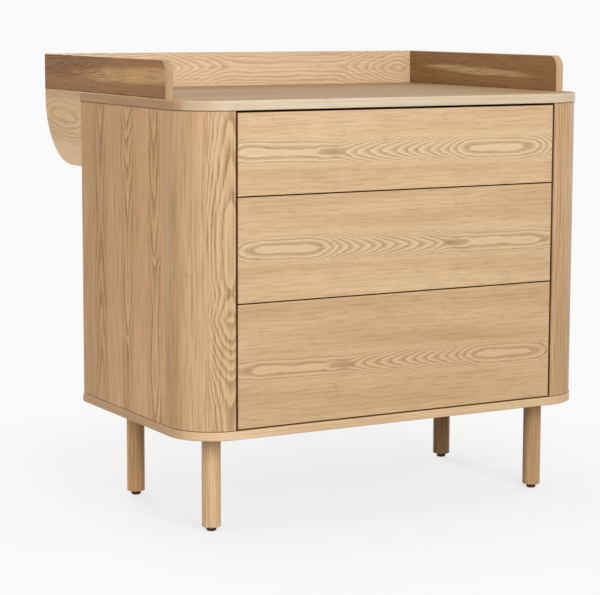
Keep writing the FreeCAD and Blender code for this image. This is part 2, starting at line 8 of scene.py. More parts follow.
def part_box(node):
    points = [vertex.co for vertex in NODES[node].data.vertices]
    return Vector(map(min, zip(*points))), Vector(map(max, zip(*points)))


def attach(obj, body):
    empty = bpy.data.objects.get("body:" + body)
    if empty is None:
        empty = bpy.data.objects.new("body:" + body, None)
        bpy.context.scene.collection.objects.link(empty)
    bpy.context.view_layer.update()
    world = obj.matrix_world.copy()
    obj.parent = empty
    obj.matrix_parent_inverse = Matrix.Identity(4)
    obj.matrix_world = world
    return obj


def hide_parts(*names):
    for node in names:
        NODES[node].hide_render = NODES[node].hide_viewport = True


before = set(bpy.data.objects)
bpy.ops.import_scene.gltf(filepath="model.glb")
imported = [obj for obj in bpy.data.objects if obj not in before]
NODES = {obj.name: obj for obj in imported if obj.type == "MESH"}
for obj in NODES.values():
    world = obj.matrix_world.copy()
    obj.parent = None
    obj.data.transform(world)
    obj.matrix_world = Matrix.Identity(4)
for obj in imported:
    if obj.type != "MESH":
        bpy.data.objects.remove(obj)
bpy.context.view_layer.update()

bl_info = {
    "name": "Chest of drawers with changing tray",
    "version": (1, 0, 0),
    "blender": (4, 5, 0),
    "location": "View3D > Sidebar > Chest",
    "description": "Veneered case, drawer fronts, tray and legs over the packed frame of the chest",
    "category": "Object",
}

LEVELS = ("top", "middle", "bottom")
SIDES = ("left", "right")
GRAIN = "grain"

# Places closer than this are the same, in metres, and turns up to this angle are shaded smooth
SAME_PLACE = 5e-5
SMOOTH_ANGLE = math.radians(40)

# How finely the rounded forms are divided
CORNER_SEGMENTS, BEND_SEGMENTS, RAIL_SEGMENTS = 28, 24, 10
GLIDE_SEGMENTS, ROUND_SEGMENTS, EASED_SEGMENTS, FINE_SEGMENTS = 6, 4, 3, 2
LEG_SIDES, GLIDE_SIDES = 64, 40

# Share of a normal that points along an axis, where a face lies squarely across it, mostly, partly or hardly
SQUARELY, MOSTLY, PARTLY, HARDLY = 0.9, 0.5, 0.3, 0.1


# Selecting and shaping, as by hand

def deselect_everything():
    """Back to object mode with nothing selected."""
    if bpy.context.mode != "OBJECT":
        bpy.ops.object.mode_set(mode="OBJECT")
    bpy.ops.object.select_all(action="DESELECT")


def select_alone(piece):
    """Select one piece and make it the active one."""
    deselect_everything()
    bpy.context.view_layer.objects.active = piece
    piece.select_set(True)


def settle(name, scale=(1, 1, 1)):
    """Name the primitive just added, and put its size and place in its mesh."""
    piece = bpy.context.object
    piece.name = piece.data.name = name
    piece.scale = scale
    bpy.ops.object.transform_apply(location=True, rotation=True, scale=True)
    return piece


def start_block(name, low, high):
    """A block between two corners."""
    deselect_everything()
    bpy.ops.mesh.primitive_cube_add(size=1, calc_uvs=False, location=(low + high) / 2)
    return settle(name, high - low)


def start_round(name, low, high, sides):
    """An upright round bar between two corners."""
    deselect_everything()
    bpy.ops.mesh.primitive_cylinder_add(vertices=sides, radius=(high.x - low.x) / 2, depth=high.z - low.z,
                                        calc_uvs=False, location=(low + high) / 2)
    return settle(name)


def select_edges(piece, wanted):
    """In edit mode, select just the edges that pass the test."""
    bpy.ops.mesh.select_mode(type="EDGE")
    bpy.ops.mesh.select_all(action="DESELECT")
    mesh = bmesh.from_edit_mesh(piece.data)
    for edge in mesh.edges:
        edge.select_set(wanted(edge))
    mesh.select_flush_mode()
    bmesh.update_edit_mesh(piece.data)


def lies_at(edge, **place):
    """Whether both ends of an edge lie at the given x, y or z."""
    return all(abs(getattr(vertex.co, axis) - value) < SAME_PLACE
               for vertex in edge.verts for axis, value in place.items())


def outline_at(height, rear):
    """A test for the edges at one height, apart from the rear one."""
    return lambda edge: lies_at(edge, z=height) and not lies_at(edge, y=rear)


def face_outline(low, high, *kept):
    """A test for the outline of both faces of an upright board, but not where it meets its neighbours."""
    def wanted(edge):
        on_face = lies_at(edge, x=low.x) or lies_at(edge, x=high.x)
        return on_face and not any(lies_at(edge, **place) for place in kept)
    return wanted


def round_edges(piece, wanted, radius, segments):
    """Round the chosen edges of a piece."""
    select_alone(piece)
    bpy.ops.object.mode_set(mode="EDIT")
    select_edges(piece, wanted)
    bpy.ops.mesh.bevel(offset_type="OFFSET", offset=radius, segments=segments, profile=0.5, affect="EDGES",
                       clamp_overlap=False)
    bpy.ops.object.mode_set(mode="OBJECT")


def apply_modifiers(piece):
    """Apply every modifier of a piece, in order."""
    select_alone(piece)
    for modifier in list(piece.modifiers):
        bpy.ops.object.modifier_apply(modifier=modifier.name)


def smooth(piece):
    """Smooth shading over the rounded edges, with the flat faces kept flat."""
    select_alone(piece)
    bpy.ops.object.shade_smooth_by_angle(angle=SMOOTH_ANGLE)
    weighted = piece.modifiers.new("flat_faces", "WEIGHTED_NORMAL")
    weighted.keep_sharp = True
    apply_modifiers(piece)


def lay_grain(piece, places):
    """Write the map of the grain: metres along it and across it, at each corner of each face."""
    mesh = bmesh.new()
    mesh.from_mesh(piece.data)
    layer = mesh.loops.layers.uv.get(GRAIN) or mesh.loops.layers.uv.new(GRAIN)
    for face in mesh.faces:
        for loop in face.loops:
            loop[layer].uv = places(face.normal, loop.vert.co)
    mesh.to_mesh(piece.data)
    mesh.free()


def upright_grain(normal, place):
    """Grain from front to rear on the faces of an upright board, and along its edges."""
    if abs(normal.x) > SQUARELY:
        return place.y, place.z
    return place.y + place.z, place.x


def crossways_grain(normal, place):
    """Grain from side to side, on the faces of a board and on its edges."""
    return place.x, place.y if abs(normal.z) > MOSTLY else place.z


def round_the_front(place, half_width, front, radius):
    """Distance round the edge of the case from the middle of its front to a place on it."""
    side = -1 if place.x < 0 else 1
    across, back = abs(place.x), place.y - front
    straight = half_width - radius
    if back >= radius:
        run = straight + radius * math.pi / 2 + back - radius
    elif across > straight:
        run = straight + radius * math.atan2(across - straight, radius - back)
    else:
        run = across
    return side * run


def finish_piece(piece, body, slot, materials, *replaced):
    """Dress a finished piece, and let it stand for its nodes."""
    piece.data.materials.clear()
    for material in materials:
        piece.data.materials.append(material)
    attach(piece, body)
    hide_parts(*replaced)
    return piece


def give_faces(piece, number, chosen):
    """Give the material of that number to the faces whose normal passes the test."""
    for face in piece.data.polygons:
        if chosen(face.normal):
            face.material_index = number


def make_board(node, ending, roundings, grain, slot, materials, body="cabinet"):
    """A board that stands for its node. Each rounding is a test for edges, a radius and segments."""
    board = start_block(f"{node}_{ending}", *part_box(node))
    for wanted, radius, segments in roundings:
        round_edges(board, wanted, radius, segments)
    lay_grain(board, grain)
    smooth(board)
    return finish_piece(board, body, slot, materials, node)


# Shader nodes

class Tree:
    """Short ways to add nodes to one tree."""

    def __init__(self, tree):
        self.tree = tree

    def feed(self, socket, value):
        if isinstance(value, bpy.types.NodeSocket):
            self.tree.links.new(value, socket)
        else:
            socket.default_value = value

    def feed_by_name(self, made, **values):
        for name, value in values.items():
            self.feed(made.inputs[name.replace("_", " ")], value)
        return made.outputs

    def node(self, kind, *values, **settings):
        """A node with its settings, and with its first inputs fed."""
        made = self.tree.nodes.new(kind)
        for name, value in settings.items():
            setattr(made, name, value)
        for socket, value in zip(made.inputs, values):
            self.feed(socket, value)
        return made

    def math(self, operation, *values, clamp=False):
        return self.node("ShaderNodeMath", *values, operation=operation, use_clamp=clamp).outputs[0]

    def vector(self, operation, *values):
        return self.node("ShaderNodeVectorMath", *values, operation=operation).outputs[0]

    def split(self, vector):
        return self.node("ShaderNodeSeparateXYZ", vector).outputs

    def join(self, x, y, z):
        return self.node("ShaderNodeCombineXYZ", x, y, z).outputs[0]

    def seeded(self, given):
        """The grain that comes in, moved into the wood by the seed."""
        return self.vector("ADD", given["Grain"], self.join(0.0, 0.0, given["Seed"]))

    def noise(self, place, waves, detail=2.0, roughness=0.5):
        """Noise with so many waves to the metre along the grain, across it and into the wood."""
        made = self.node("ShaderNodeTexNoise", self.vector("MULTIPLY", place, waves), noise_dimensions="3D")
        return self.feed_by_name(made, Scale=1.0, Detail=detail, Roughness=roughness)["Fac"]

    def sway(self, value, noise, amount):
        """A value that noise moves up and down."""
        return self.math("MULTIPLY_ADD", self.math("SUBTRACT", noise, 0.5), amount, value)

    def between(self, value, low, high, to_low=0.0, to_high=1.0, smooth_step=True):
        return self.node("ShaderNodeMapRange", value, low, high, to_low, to_high,
                         interpolation_type="SMOOTHSTEP" if smooth_step else "LINEAR").outputs[0]

    def ramp(self, value, stops):
        """A value read off a ramp of (place, level) stops."""
        made = self.node("ShaderNodeValToRGB", value)
        elements = made.color_ramp.elements
        for element, (place, level) in zip(elements, (stops[0], stops[-1])):
            element.position = place
            element.color = (level, level, level, 1)
        for place, level in stops[1:-1]:
            elements.new(place).color = (level, level, level, 1)
        return made.outputs[0]

    def curve(self, value, stops):
        """A level read off (place, level) stops of any size, such as the rings climbed at each height."""
        low, high = stops[0][0], stops[-1][0]
        most = max(level for place, level in stops)
        share = self.between(value, low, high, smooth_step=False)
        level = self.ramp(share, [((place - low) / (high - low), level / most) for place, level in stops])
        return self.math("MULTIPLY", level, float(most))

    def mix(self, share, first, second):
        made = self.node("ShaderNodeMix", data_type="RGBA")
        for socket, value in zip((made.inputs[0], made.inputs[6], made.inputs[7]), (share, first, second)):
            self.feed(socket, value)
        return made.outputs[2]

    def group(self, name, **values):
        made = self.node("ShaderNodeGroup", node_tree=bpy.data.node_groups[name])
        return self.feed_by_name(made, **values)

    def bump(self, shader, height, strength, distance):
        """Fine relief on a shader."""
        made = self.node("ShaderNodeBump")
        relief = self.feed_by_name(made, Strength=strength, Distance=distance, Height=height)
        self.feed(shader.inputs["Normal"], relief[0])


FLOAT, COLOUR = "NodeSocketFloat", "NodeSocketColor"


def new_group(name, inputs, outputs):
    """A node group that takes the grain and named inputs: its tree, what comes in and what goes out."""
    group = bpy.data.node_groups.new(name, "ShaderNodeTree")
    sockets = group.interface
    sockets.new_socket(name="Grain", in_out="INPUT", socket_type="NodeSocketVector")
    for title, default in inputs.items():
        kind = COLOUR if isinstance(default, tuple) else FLOAT
        sockets.new_socket(name=title, in_out="INPUT", socket_type=kind).default_value = default
    for title in outputs:
        kind = COLOUR if title == "Colour" else FLOAT
        sockets.new_socket(name=title, in_out="OUTPUT", socket_type=kind)
    tree = Tree(group)
    return tree, tree.node("NodeGroupInput").outputs, tree.node("NodeGroupOutput").inputs


def make_fibres_group():
    """Fibres, open pores, broad bands of tone and small ticks, the first three drawn out along the grain."""
    tree, given, out = new_group("Wood fibres", {"Seed": 0.0, "Fineness": 1.0},
                                 ("Fibre", "Pores", "Tone", "Ticks"))
    shifted = tree.seeded(given)
    narrow = tree.math("MULTIPLY_ADD", given["Fineness"], 30.0, 180.0)
    fine_waves = tree.join(tree.math("MULTIPLY_ADD", given["Fineness"], 3.2, 3.8), narrow, narrow)
    fine = tree.noise(shifted, fine_waves, detail=4.0, roughness=0.7)
    tree.feed(out["Fibre"], tree.between(fine, 0.3, 0.7))
    pores = tree.noise(shifted, (40.0, 900.0, 900.0), detail=1.0)
    tree.feed(out["Pores"], tree.between(pores, 0.55, 0.72))
    tone = tree.noise(shifted, (1.7, 17.0, 17.0), detail=3.0, roughness=0.55)
    tree.feed(out["Tone"], tree.between(tone, 0.3, 0.7, smooth_step=False))
    # Nearly half of the cells hold a tick, a short thin line that slants across the grain
    spread = tree.vector("MULTIPLY", shifted, (7.0, 7.0, 0.0))
    cells = tree.node("ShaderNodeTexVoronoi", spread, feature="F1", distance="EUCLIDEAN")
    tree.feed_by_name(cells, Scale=1.0)
    beside = tree.split(tree.vector("SUBTRACT", spread, cells.outputs["Position"]))
    slanted = tree.math("MULTIPLY_ADD", beside["Y"], 0.45, beside["X"])
    slanted = tree.sway(slanted, fine, 0.12)
    thin = tree.between(tree.math("ABSOLUTE", slanted), 0.004, 0.04, 1.0, 0.0)
    short = tree.between(tree.math("ABSOLUTE", beside["Y"]), 0.02, 0.11, 1.0, 0.0)
    some = tree.math("GREATER_THAN", tree.split(cells.outputs["Color"])["X"], 0.55)
    tree.feed(out["Ticks"], tree.math("MULTIPLY", tree.math("MULTIPLY", thin, short), some))


def make_plain_grain_group():
    """Rings of a plain-cut board: long waves and flames made by a slanting cut through the rings."""
    tree, given, out = new_group("Plain-cut rings", {"Ring width": 0.006, "Flames": 3.0, "Seed": 0.0},
                                 ("Rings",))
    shifted = tree.seeded(given)
    across, depth = tree.split(shifted)[1:]
    slow = tree.noise(shifted, (1.5, 11.0, 11.0), detail=1.5, roughness=0.45)
    ripple = tree.noise(shifted, (9.0, 60.0, 60.0), detail=1.0)
    slanted = tree.math("ADD", across, tree.math("MULTIPLY", depth, 0.7))
    waved = tree.sway(tree.math("DIVIDE", slanted, given["Ring width"]), slow, given["Flames"])
    tree.feed(out["Rings"], tree.math("MULTIPLY_ADD", ripple, 0.8, waved))


def make_loop_figure_group():
    """Rings cut through along a heart line: loops where the climb dips, pointed arches where it rises."""
    tree, given, out = new_group(
        "Loop figure",
        {"Climb": 0.0, "Heart": 0.0, "Tilt": 0.0, "Ring width": 0.007, "Bluntness": 0.7, "Bundling": 0.3,
         "Reach": 0.03, "Sway": 0.006, "Jaggedness": 1.1, "Seed": 0.0},
        ("Rings", "Nearness"))
    shifted = tree.seeded(given)
    along, across = tree.split(given["Grain"])[:2]
    wander = tree.noise(shifted, (4.0, 9.0, 1.0))
    jagged = tree.noise(shifted, (11.0, 48.0, 1.0), detail=2.5)
    heart = tree.math("MULTIPLY_ADD", along, given["Tilt"], given["Heart"])
    off = tree.sway(tree.math("SUBTRACT", across, heart), wander, given["Sway"])
    scaled = tree.math("DIVIDE", off, given["Ring width"])
    blunt = tree.math("POWER", given["Bluntness"], 2.0)
    arm = tree.math("SQRT", tree.math("MULTIPLY_ADD", scaled, scaled, blunt))
    arm = tree.math("SUBTRACT", arm, given["Bluntness"])
    bundled = tree.math("MULTIPLY_ADD", tree.math("POWER", arm, 3.0), given["Bundling"], arm)
    tree.feed(out["Rings"], tree.sway(tree.math("ADD", bundled, given["Climb"]), jagged, given["Jaggedness"]))
    edge = tree.sway(tree.math("DIVIDE", tree.math("ABSOLUTE", off), given["Reach"]), wander, 0.4)
    tree.feed(out["Nearness"], tree.between(edge, 0.72, 1.2, 1.0, 0.0))


def make_surface_group():
    """Colour, roughness and height of lacquered ash from its rings and fibres."""
    tree, given, out = new_group(
        "Lacquered ash",
        {"Rings": 0.0, "Contrast": 0.5, "Seed": 0.0, "Light": (0.7, 0.5, 0.3, 1.0),
         "Middle": (0.6, 0.4, 0.2, 1.0), "Dark": (0.3, 0.2, 0.1, 1.0), "Streaks": 0.5, "Paleness": 0.0,
         "Fineness": 1.0},
        ("Colour", "Roughness", "Height"))
    fibres = tree.group("Wood fibres", Grain=given["Grain"], Seed=given["Seed"], Fineness=given["Fineness"])
    fibre, pores, tone = fibres["Fibre"], fibres["Pores"], fibres["Tone"]
    marks = tree.math("MULTIPLY", fibres["Ticks"], 0.14)
    # Each ring starts with its dark line, which fades through the rest of the ring
    part = tree.math("FRACT", tree.math("MULTIPLY_ADD", fibre, 0.07, given["Rings"]))
    profile = tree.ramp(part, [(0.0, 0.55), (0.07, 1.0), (0.22, 0.92), (0.45, 0.5), (0.7, 0.1), (0.93, 0.08),
                               (1.0, 0.55)])
    line = tree.math("MULTIPLY", profile, given["Contrast"])
    broken = tree.math("MULTIPLY", line, tree.math("MULTIPLY_ADD", fibre, 0.24, 0.78))
    streak = tree.math("MULTIPLY", tree.math("SUBTRACT", fibre, 0.5),
                       tree.math("MULTIPLY", given["Streaks"], 0.5))
    pore = tree.math("MULTIPLY", pores, tree.math("MULTIPLY_ADD", line, 0.3, 0.07))
    shade = tree.math("ADD", tree.math("ADD", tree.math("ADD", broken, marks), streak), pore, clamp=True)
    deeper = tree.math("MULTIPLY", tone, tree.math("SUBTRACT", 1.0, given["Paleness"]))
    ground = tree.mix(deeper, given["Light"], given["Middle"])
    tree.feed(out["Colour"], tree.mix(shade, ground, given["Dark"]))
    tree.feed(out["Roughness"], tree.math("MULTIPLY_ADD", shade, 0.14, 0.4))
    tree.feed(out["Height"], tree.math("MULTIPLY", tree.math("ADD", shade, pores), -0.5))


def colour(red, green, blue):
    """A colour given as 0 to 255 on screen."""
    def linear(level):
        level /= 255
        return level / 12.92 if level <= 0.04045 else ((level + 0.055) / 1.055) ** 2.4
    return (linear(red), linear(green), linear(blue), 1.0)


def new_material(name):
    """An empty material: its tree and its shader."""
    material = bpy.data.materials.new(name)
    material.use_nodes = True
    shader = material.node_tree.nodes["Principled BSDF"]
    shader.inputs["Specular IOR Level"].default_value = 0.15
    return material, Tree(material.node_tree), shader


def mapped_material(name):
    """An empty material, its tree and shader, and its grain as read from the piece's map."""
    material, tree, shader = new_material(name)
    return material, tree, shader, grain_coordinates(tree, "map")


def grain_coordinates(tree, direction):
    """Metres along the grain, across it and into the wood: from the piece's map, or from its place."""
    if direction == "map":
        return tree.node("ShaderNodeUVMap", uv_map=GRAIN).outputs[0]
    x, y, z = tree.split(tree.node("ShaderNodeTexCoord").outputs["Object"])
    order = {"x": (x, z, y), "y": (y, z, x), "z": (z, x, y), "x_flat": (x, y, z)}[direction]
    return tree.join(*order)


def dress(tree, shader, grain, rings, tones, contrast, seed, streaks=0.5, duller=0.0, paleness=0.0,
          fineness=1.0):
    """Join rings to the lacquered surface and the shader."""
    light, middle, dark = tones
    surface = tree.group("Lacquered ash", Grain=grain, Rings=rings, Contrast=contrast, Seed=seed, Light=light,
                         Middle=middle, Dark=dark, Streaks=streaks, Paleness=paleness, Fineness=fineness)
    tree.feed(shader.inputs["Base Color"], surface["Colour"])
    tree.feed(shader.inputs["Roughness"], tree.math("ADD", surface["Roughness"], duller))
    tree.bump(shader, surface["Height"], strength=0.25, distance=0.0004)


def plain_rings(tree, grain, width, flames, seed):
    """Rings of plain-cut wood."""
    return tree.group("Plain-cut rings", Grain=grain, Ring_width=width, Flames=flames, Seed=seed)["Rings"]


def plain_wood(name, direction, tones, width, flames, contrast, seed, **looks):
    """Plain-cut wood with its grain in one direction."""
    material, tree, shader = new_material(name)
    grain = grain_coordinates(tree, direction)
    dress(tree, shader, grain, plain_rings(tree, grain, width, flames, seed), tones, contrast, seed, **looks)
    return material


def edge_wood(name, tones, seed):
    """Plain wood with a faint figure, for the edges of a board."""
    return plain_wood(name, "map", tones, width=0.02, flames=2.0, contrast=0.2, seed=seed)


def toned(tones, share, warmer=0.0):
    """Wood tones at a share of their lightness, with less blue and a little less green where warmer."""
    return [(tone[0] * share, tone[1] * share * (1 - warmer / 2), tone[2] * share * (1 - warmer), 1.0)
            for tone in tones]


def ash_tones(finishes, share=1.0, warmer=0.0):
    """The three tones of the ash veneer."""
    return toned((finishes.ash_light, finishes.ash_middle, finishes.ash_dark), share, warmer)


def pale_tones(finishes, share=1.0, warmer=0.0):
    """The three tones of the paler leaf on the back board and the brackets."""
    return toned((finishes.pale_light, finishes.pale_middle, finishes.pale_dark), share, warmer)


# The painted shadow line where a panel meets another or stands beside a gap: where it starts to fade and
# ends, in metres, and its depth
SHADOW_LINE_FADE = (0.0008, 0.0024)
SHADOW_LINE_DEPTH = 0.8


def painted_shadow_line(tree, place, *edges):
    """Mask of a painted shadow line, where a panel meets its neighbour or stands beside a gap."""
    shadow_line_mask = 0.0
    for edge in edges:
        gap = tree.math("ABSOLUTE", tree.math("SUBTRACT", place, edge))
        shadow_line_mask = tree.math("MAXIMUM", tree.between(gap, *SHADOW_LINE_FADE, SHADOW_LINE_DEPTH, 0.0), shadow_line_mask)
    return shadow_line_mask


def draw_painted_shadow_lines(tree, shadow_line_mask, tones, dark):
    """Tones with the painted shadow lines drawn over them."""
    line = toned([dark], 0.5)[0]
    return [tree.mix(shadow_line_mask, tone, line) for tone in tones]


def oval(tree, beside, above, half):
    """Squared distance from the middle of an oval, 1 on its outline."""
    parts = [tree.math("DIVIDE", place, size) for place, size in zip((beside, above), half)]
    return tree.math("ADD", *(tree.math("MULTIPLY", part, part) for part in parts))


def lay_figure(tree, figure, rings, contrast, strength):
    """Rings and contrast of plain grain with a figure laid into it, fainter where the two meet."""
    nearness = figure["Nearness"]
    gap = tree.math("SUBTRACT", figure["Rings"], rings)
    plain = tree.math("POWER", tree.math("SUBTRACT", 1.0, nearness), 2.0)
    strong = tree.math("MULTIPLY", tree.math("MULTIPLY", nearness, nearness), strength)
    return (tree.math("MULTIPLY_ADD", gap, nearness, rings),
            tree.math("MULTIPLY_ADD", contrast, plain, strong))


# What a user would change

def length_property(title, description, default, least, most):
    """A length in metres that a user can change."""
    return bpy.props.FloatProperty(name=title, description=description, default=default, min=least, max=most,
                                   unit="LENGTH")


def tone_property(title, description, red, green, blue):
    """A colour that a user can change."""
    return bpy.props.FloatVectorProperty(name=title, description=description, subtype="COLOR", size=4, min=0,
                                         max=1, default=colour(red, green, blue))


def power_property(title, where, default):
    """The power of a large lamp that a user can change."""
    return bpy.props.FloatProperty(name=title, description=f"Power of the large lamp {where} the chest",
                                   default=default, min=0, subtype="POWER", unit="POWER")


class ChestSizes(bpy.types.PropertyGroup):
    """Rounded corners and eased edges of the chest."""

    corner_radius: length_property(
        "Corner radius", "Front corners of the top and bottom panels", 0.1, 0.02, 0.2)
    side_thickness: length_property(
        "Side thickness", "Thickness of the bent side panels", 0.018, 0.01, 0.03)
    bend_radius: length_property(
        "Bend radius", "Outer radius of the bent front corners", 0.098, 0.02, 0.2)
    rail_corner_radius: length_property(
        "Rail corner", "Front upper corner of a tray rail", 0.025, 0.002, 0.04)
    bracket_radius: length_property(
        "Bracket corner", "Lower rear corner of a tray bracket", 0.146, 0.01, 0.15)
    top_easing: length_property(
        "Top easing", "Rounding of the upper edge of the top panel", 0.003, 0.0005, 0.006)
    edge_easing: length_property(
        "Edge easing", "Other edges of the panels, rails, brackets and back board", 0.0015, 0.0003, 0.003)
    front_easing: length_property(
        "Front easing", "Edges of the drawer fronts, side panels and tray shelf", 0.001, 0.0003, 0.003)
    leg_easing: length_property(
        "Leg easing", "Rounding of the foot of a leg", 0.002, 0.0005, 0.005)
    glide_rounding: length_property(
        "Glide rounding", "Rounding of the underside of a glide", 0.003, 0.001, 0.008)


class ChestFinishes(bpy.types.PropertyGroup):
    """Colours of the chest's woods, metals and plastics."""

    ash_light: tone_property("Ash, light", "Lightest ground of the veneer", 229, 199, 161)
    ash_middle: tone_property("Ash, middle", "Deeper ground of the veneer", 208, 173, 132)
    ash_dark: tone_property("Ash, lines", "Ring lines and pores of the veneer", 141, 102, 60)
    pale_light: tone_property("Pale leaf, light", "Lightest ground of back board and brackets", 240, 214, 180)
    pale_middle: tone_property("Pale leaf, middle", "Deeper ground of back board and brackets", 230, 200, 162)
    pale_dark: tone_property("Pale leaf, lines", "Ring lines of back board and brackets", 166, 126, 86)
    rail_light: tone_property("Rail, light", "Lighter streaks on the faces of the rails", 193, 159, 111)
    rail_middle: tone_property("Rail, middle", "Ground on the faces of the rails", 150, 110, 68)
    rail_dark: tone_property("Rail, lines", "Lines on the faces of the rails", 86, 56, 29)
    box_light: tone_property("Drawer box, light", "Lighter ground of the drawer boxes", 226, 205, 172)
    box_middle: tone_property("Drawer box, middle", "Deeper ground of the drawer boxes", 216, 192, 156)
    box_dark: tone_property("Drawer box, lines", "Lines of the drawer boxes", 180, 150, 112)
    glide: tone_property("Glide", "Plastic of the glides", 84, 54, 32)
    steel: tone_property("Steel", "Zinc-plated steel of runners and screws", 190, 192, 194)
    latch: tone_property("Latch", "Plastic of the latch housings", 214, 214, 210)


class ChestStudio(bpy.types.PropertyGroup):
    """Floor, lamps and camera."""

    backdrop: tone_property("Backdrop", "Colour of the floor and of the background", 250, 250, 250)
    key_power: power_property("Key lamp", "in front of", 136.0)
    left_power: power_property("Left lamp", "to the left of", 50.0)
    right_power: power_property("Right lamp", "to the right of", 32.0)
    rear_power: power_property("Rear lamp", "behind", 95.0)
    ambient: bpy.props.FloatProperty(
        name="Room light", description="Strength of the even light all round", default=0.56, min=0, max=2)
    lens: bpy.props.FloatProperty(
        name="Lens", description="Focal length of the camera, on a sensor 36 mm wide", default=123.4, min=20,
        max=300, unit="CAMERA")


# Operators, one for each group of like pieces

class CHEST_OT_side_panels(bpy.types.Operator):
    """Bend the two side panels round to the drawer opening, with the veneer running on round the bend"""
    bl_idname = "chest.side_panels"
    bl_label = "Side panels"

    def execute(self, context):
        material = side_veneer(context.scene.chest_finishes)
        for side, name in ((-1, "left"), (1, "right")):
            panel = self.bend(f"side_panel_{name}", side, context.scene.chest_sizes)
            finish_piece(panel, "cabinet", "side_veneer", [material], f"side_panel_{name}")
        return {"FINISHED"}

    def bend(self, node, side, sizes):
        """A wall from the rear edge forwards, spun round the bend, drawn out to the opening and thickened."""
        low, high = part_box(node)
        outside, opening = (low.x, high.x) if side < 0 else (high.x, low.x)
        bend_start = low.y + sizes.bend_radius
        bend_middle = outside - side * sizes.bend_radius
        deselect_everything()
        bpy.ops.mesh.primitive_plane_add(
            size=1, calc_uvs=False, rotation=(0, math.pi / 2, 0),
            location=(outside, (bend_start + high.y) / 2, (low.z + high.z) / 2))
        panel = settle(f"{node}_bent", (high.z - low.z, high.y - bend_start, 1))
        bpy.ops.object.mode_set(mode="EDIT")
        select_edges(panel, lambda edge: lies_at(edge, y=bend_start))
        bpy.ops.mesh.spin(steps=BEND_SEGMENTS, angle=side * math.pi / 2, center=(bend_middle, bend_start, 0),
                          axis=(0, 0, 1))
        select_edges(panel, lambda edge: lies_at(edge, y=low.y))
        bpy.ops.mesh.extrude_region_move(TRANSFORM_OT_translate={"value": (opening - bend_middle, 0, 0)})
        bpy.ops.mesh.select_all(action="SELECT")
        bpy.ops.mesh.remove_doubles(threshold=1e-5)
        bpy.ops.object.mode_set(mode="OBJECT")
        turn_outwards(panel, side)
        lay_grain(panel, lambda normal, place: (
            place.z, round_the_front(place, abs(outside), low.y, sizes.bend_radius)))
        wall = panel.modifiers.new("thickness", "SOLIDIFY")
        wall.thickness = sizes.side_thickness
        wall.offset = -1
        wall.use_even_offset = True
        ease = panel.modifiers.new("easing", "BEVEL")
        ease.width = sizes.front_easing
        ease.segments = FINE_SEGMENTS
        ease.limit_method = "ANGLE"
        ease.angle_limit = SMOOTH_ANGLE
        apply_modifiers(panel)
        smooth(panel)
        return panel


def turn_outwards(panel, side):
    """Make the faces of a bent wall point away from the case."""
    wall = max(panel.data.polygons, key=lambda face: face.area)
    if wall.normal.x * side < 0:
        select_alone(panel)
        bpy.ops.object.mode_set(mode="EDIT")
        bpy.ops.mesh.select_all(action="SELECT")
        bpy.ops.mesh.flip_normals()
        bpy.ops.object.mode_set(mode="OBJECT")


# Each upright flame of the sides: distance of its heart line round from the middle of the front, how far it
# reaches to each side, and the rings that it has climbed at each height
SIDE_FLAMES = (
    (0.739, 0.036, [(0.2, 6.4), (0.36, 6.0), (0.395, 5.0), (0.43, 4.5), (0.6, 4.3), (0.645, 4.0),
                    (0.729, 3.0), (0.792, 2.0), (0.824, 1.0), (0.87, 0.1)]),
    (0.609, 0.034, [(0.2, 5.2), (0.31, 4.4), (0.45, 4.6), (0.54, 4.0), (0.572, 3.0), (0.672, 2.0),
                    (0.78, 1.0), (0.87, 0.2)]),
    (0.876, 0.036, [(0.2, 0.2), (0.32, 1.0), (0.43, 2.0), (0.546, 3.0), (0.62, 3.5), (0.7, 3.4),
                    (0.8, 3.0), (0.87, 2.2)]))
# A pale spindle above, a small knot, and arches spread out below it
KNOT_CLIMB = [(0.2, 7.6), (0.27, 7.0), (0.322, 6.0), (0.342, 5.0), (0.365, 4.0), (0.385, 3.0), (0.405, 2.0),
              (0.415, 1.7), (0.437, 1.05), (0.447, 0.75), (0.457, 1.05), (0.47, 1.5), (0.5, 2.1),
              (0.53, 1.55), (0.6, 1.3), (0.66, 1.5), (0.69, 2.05), (0.75, 2.8), (0.87, 4.4)]


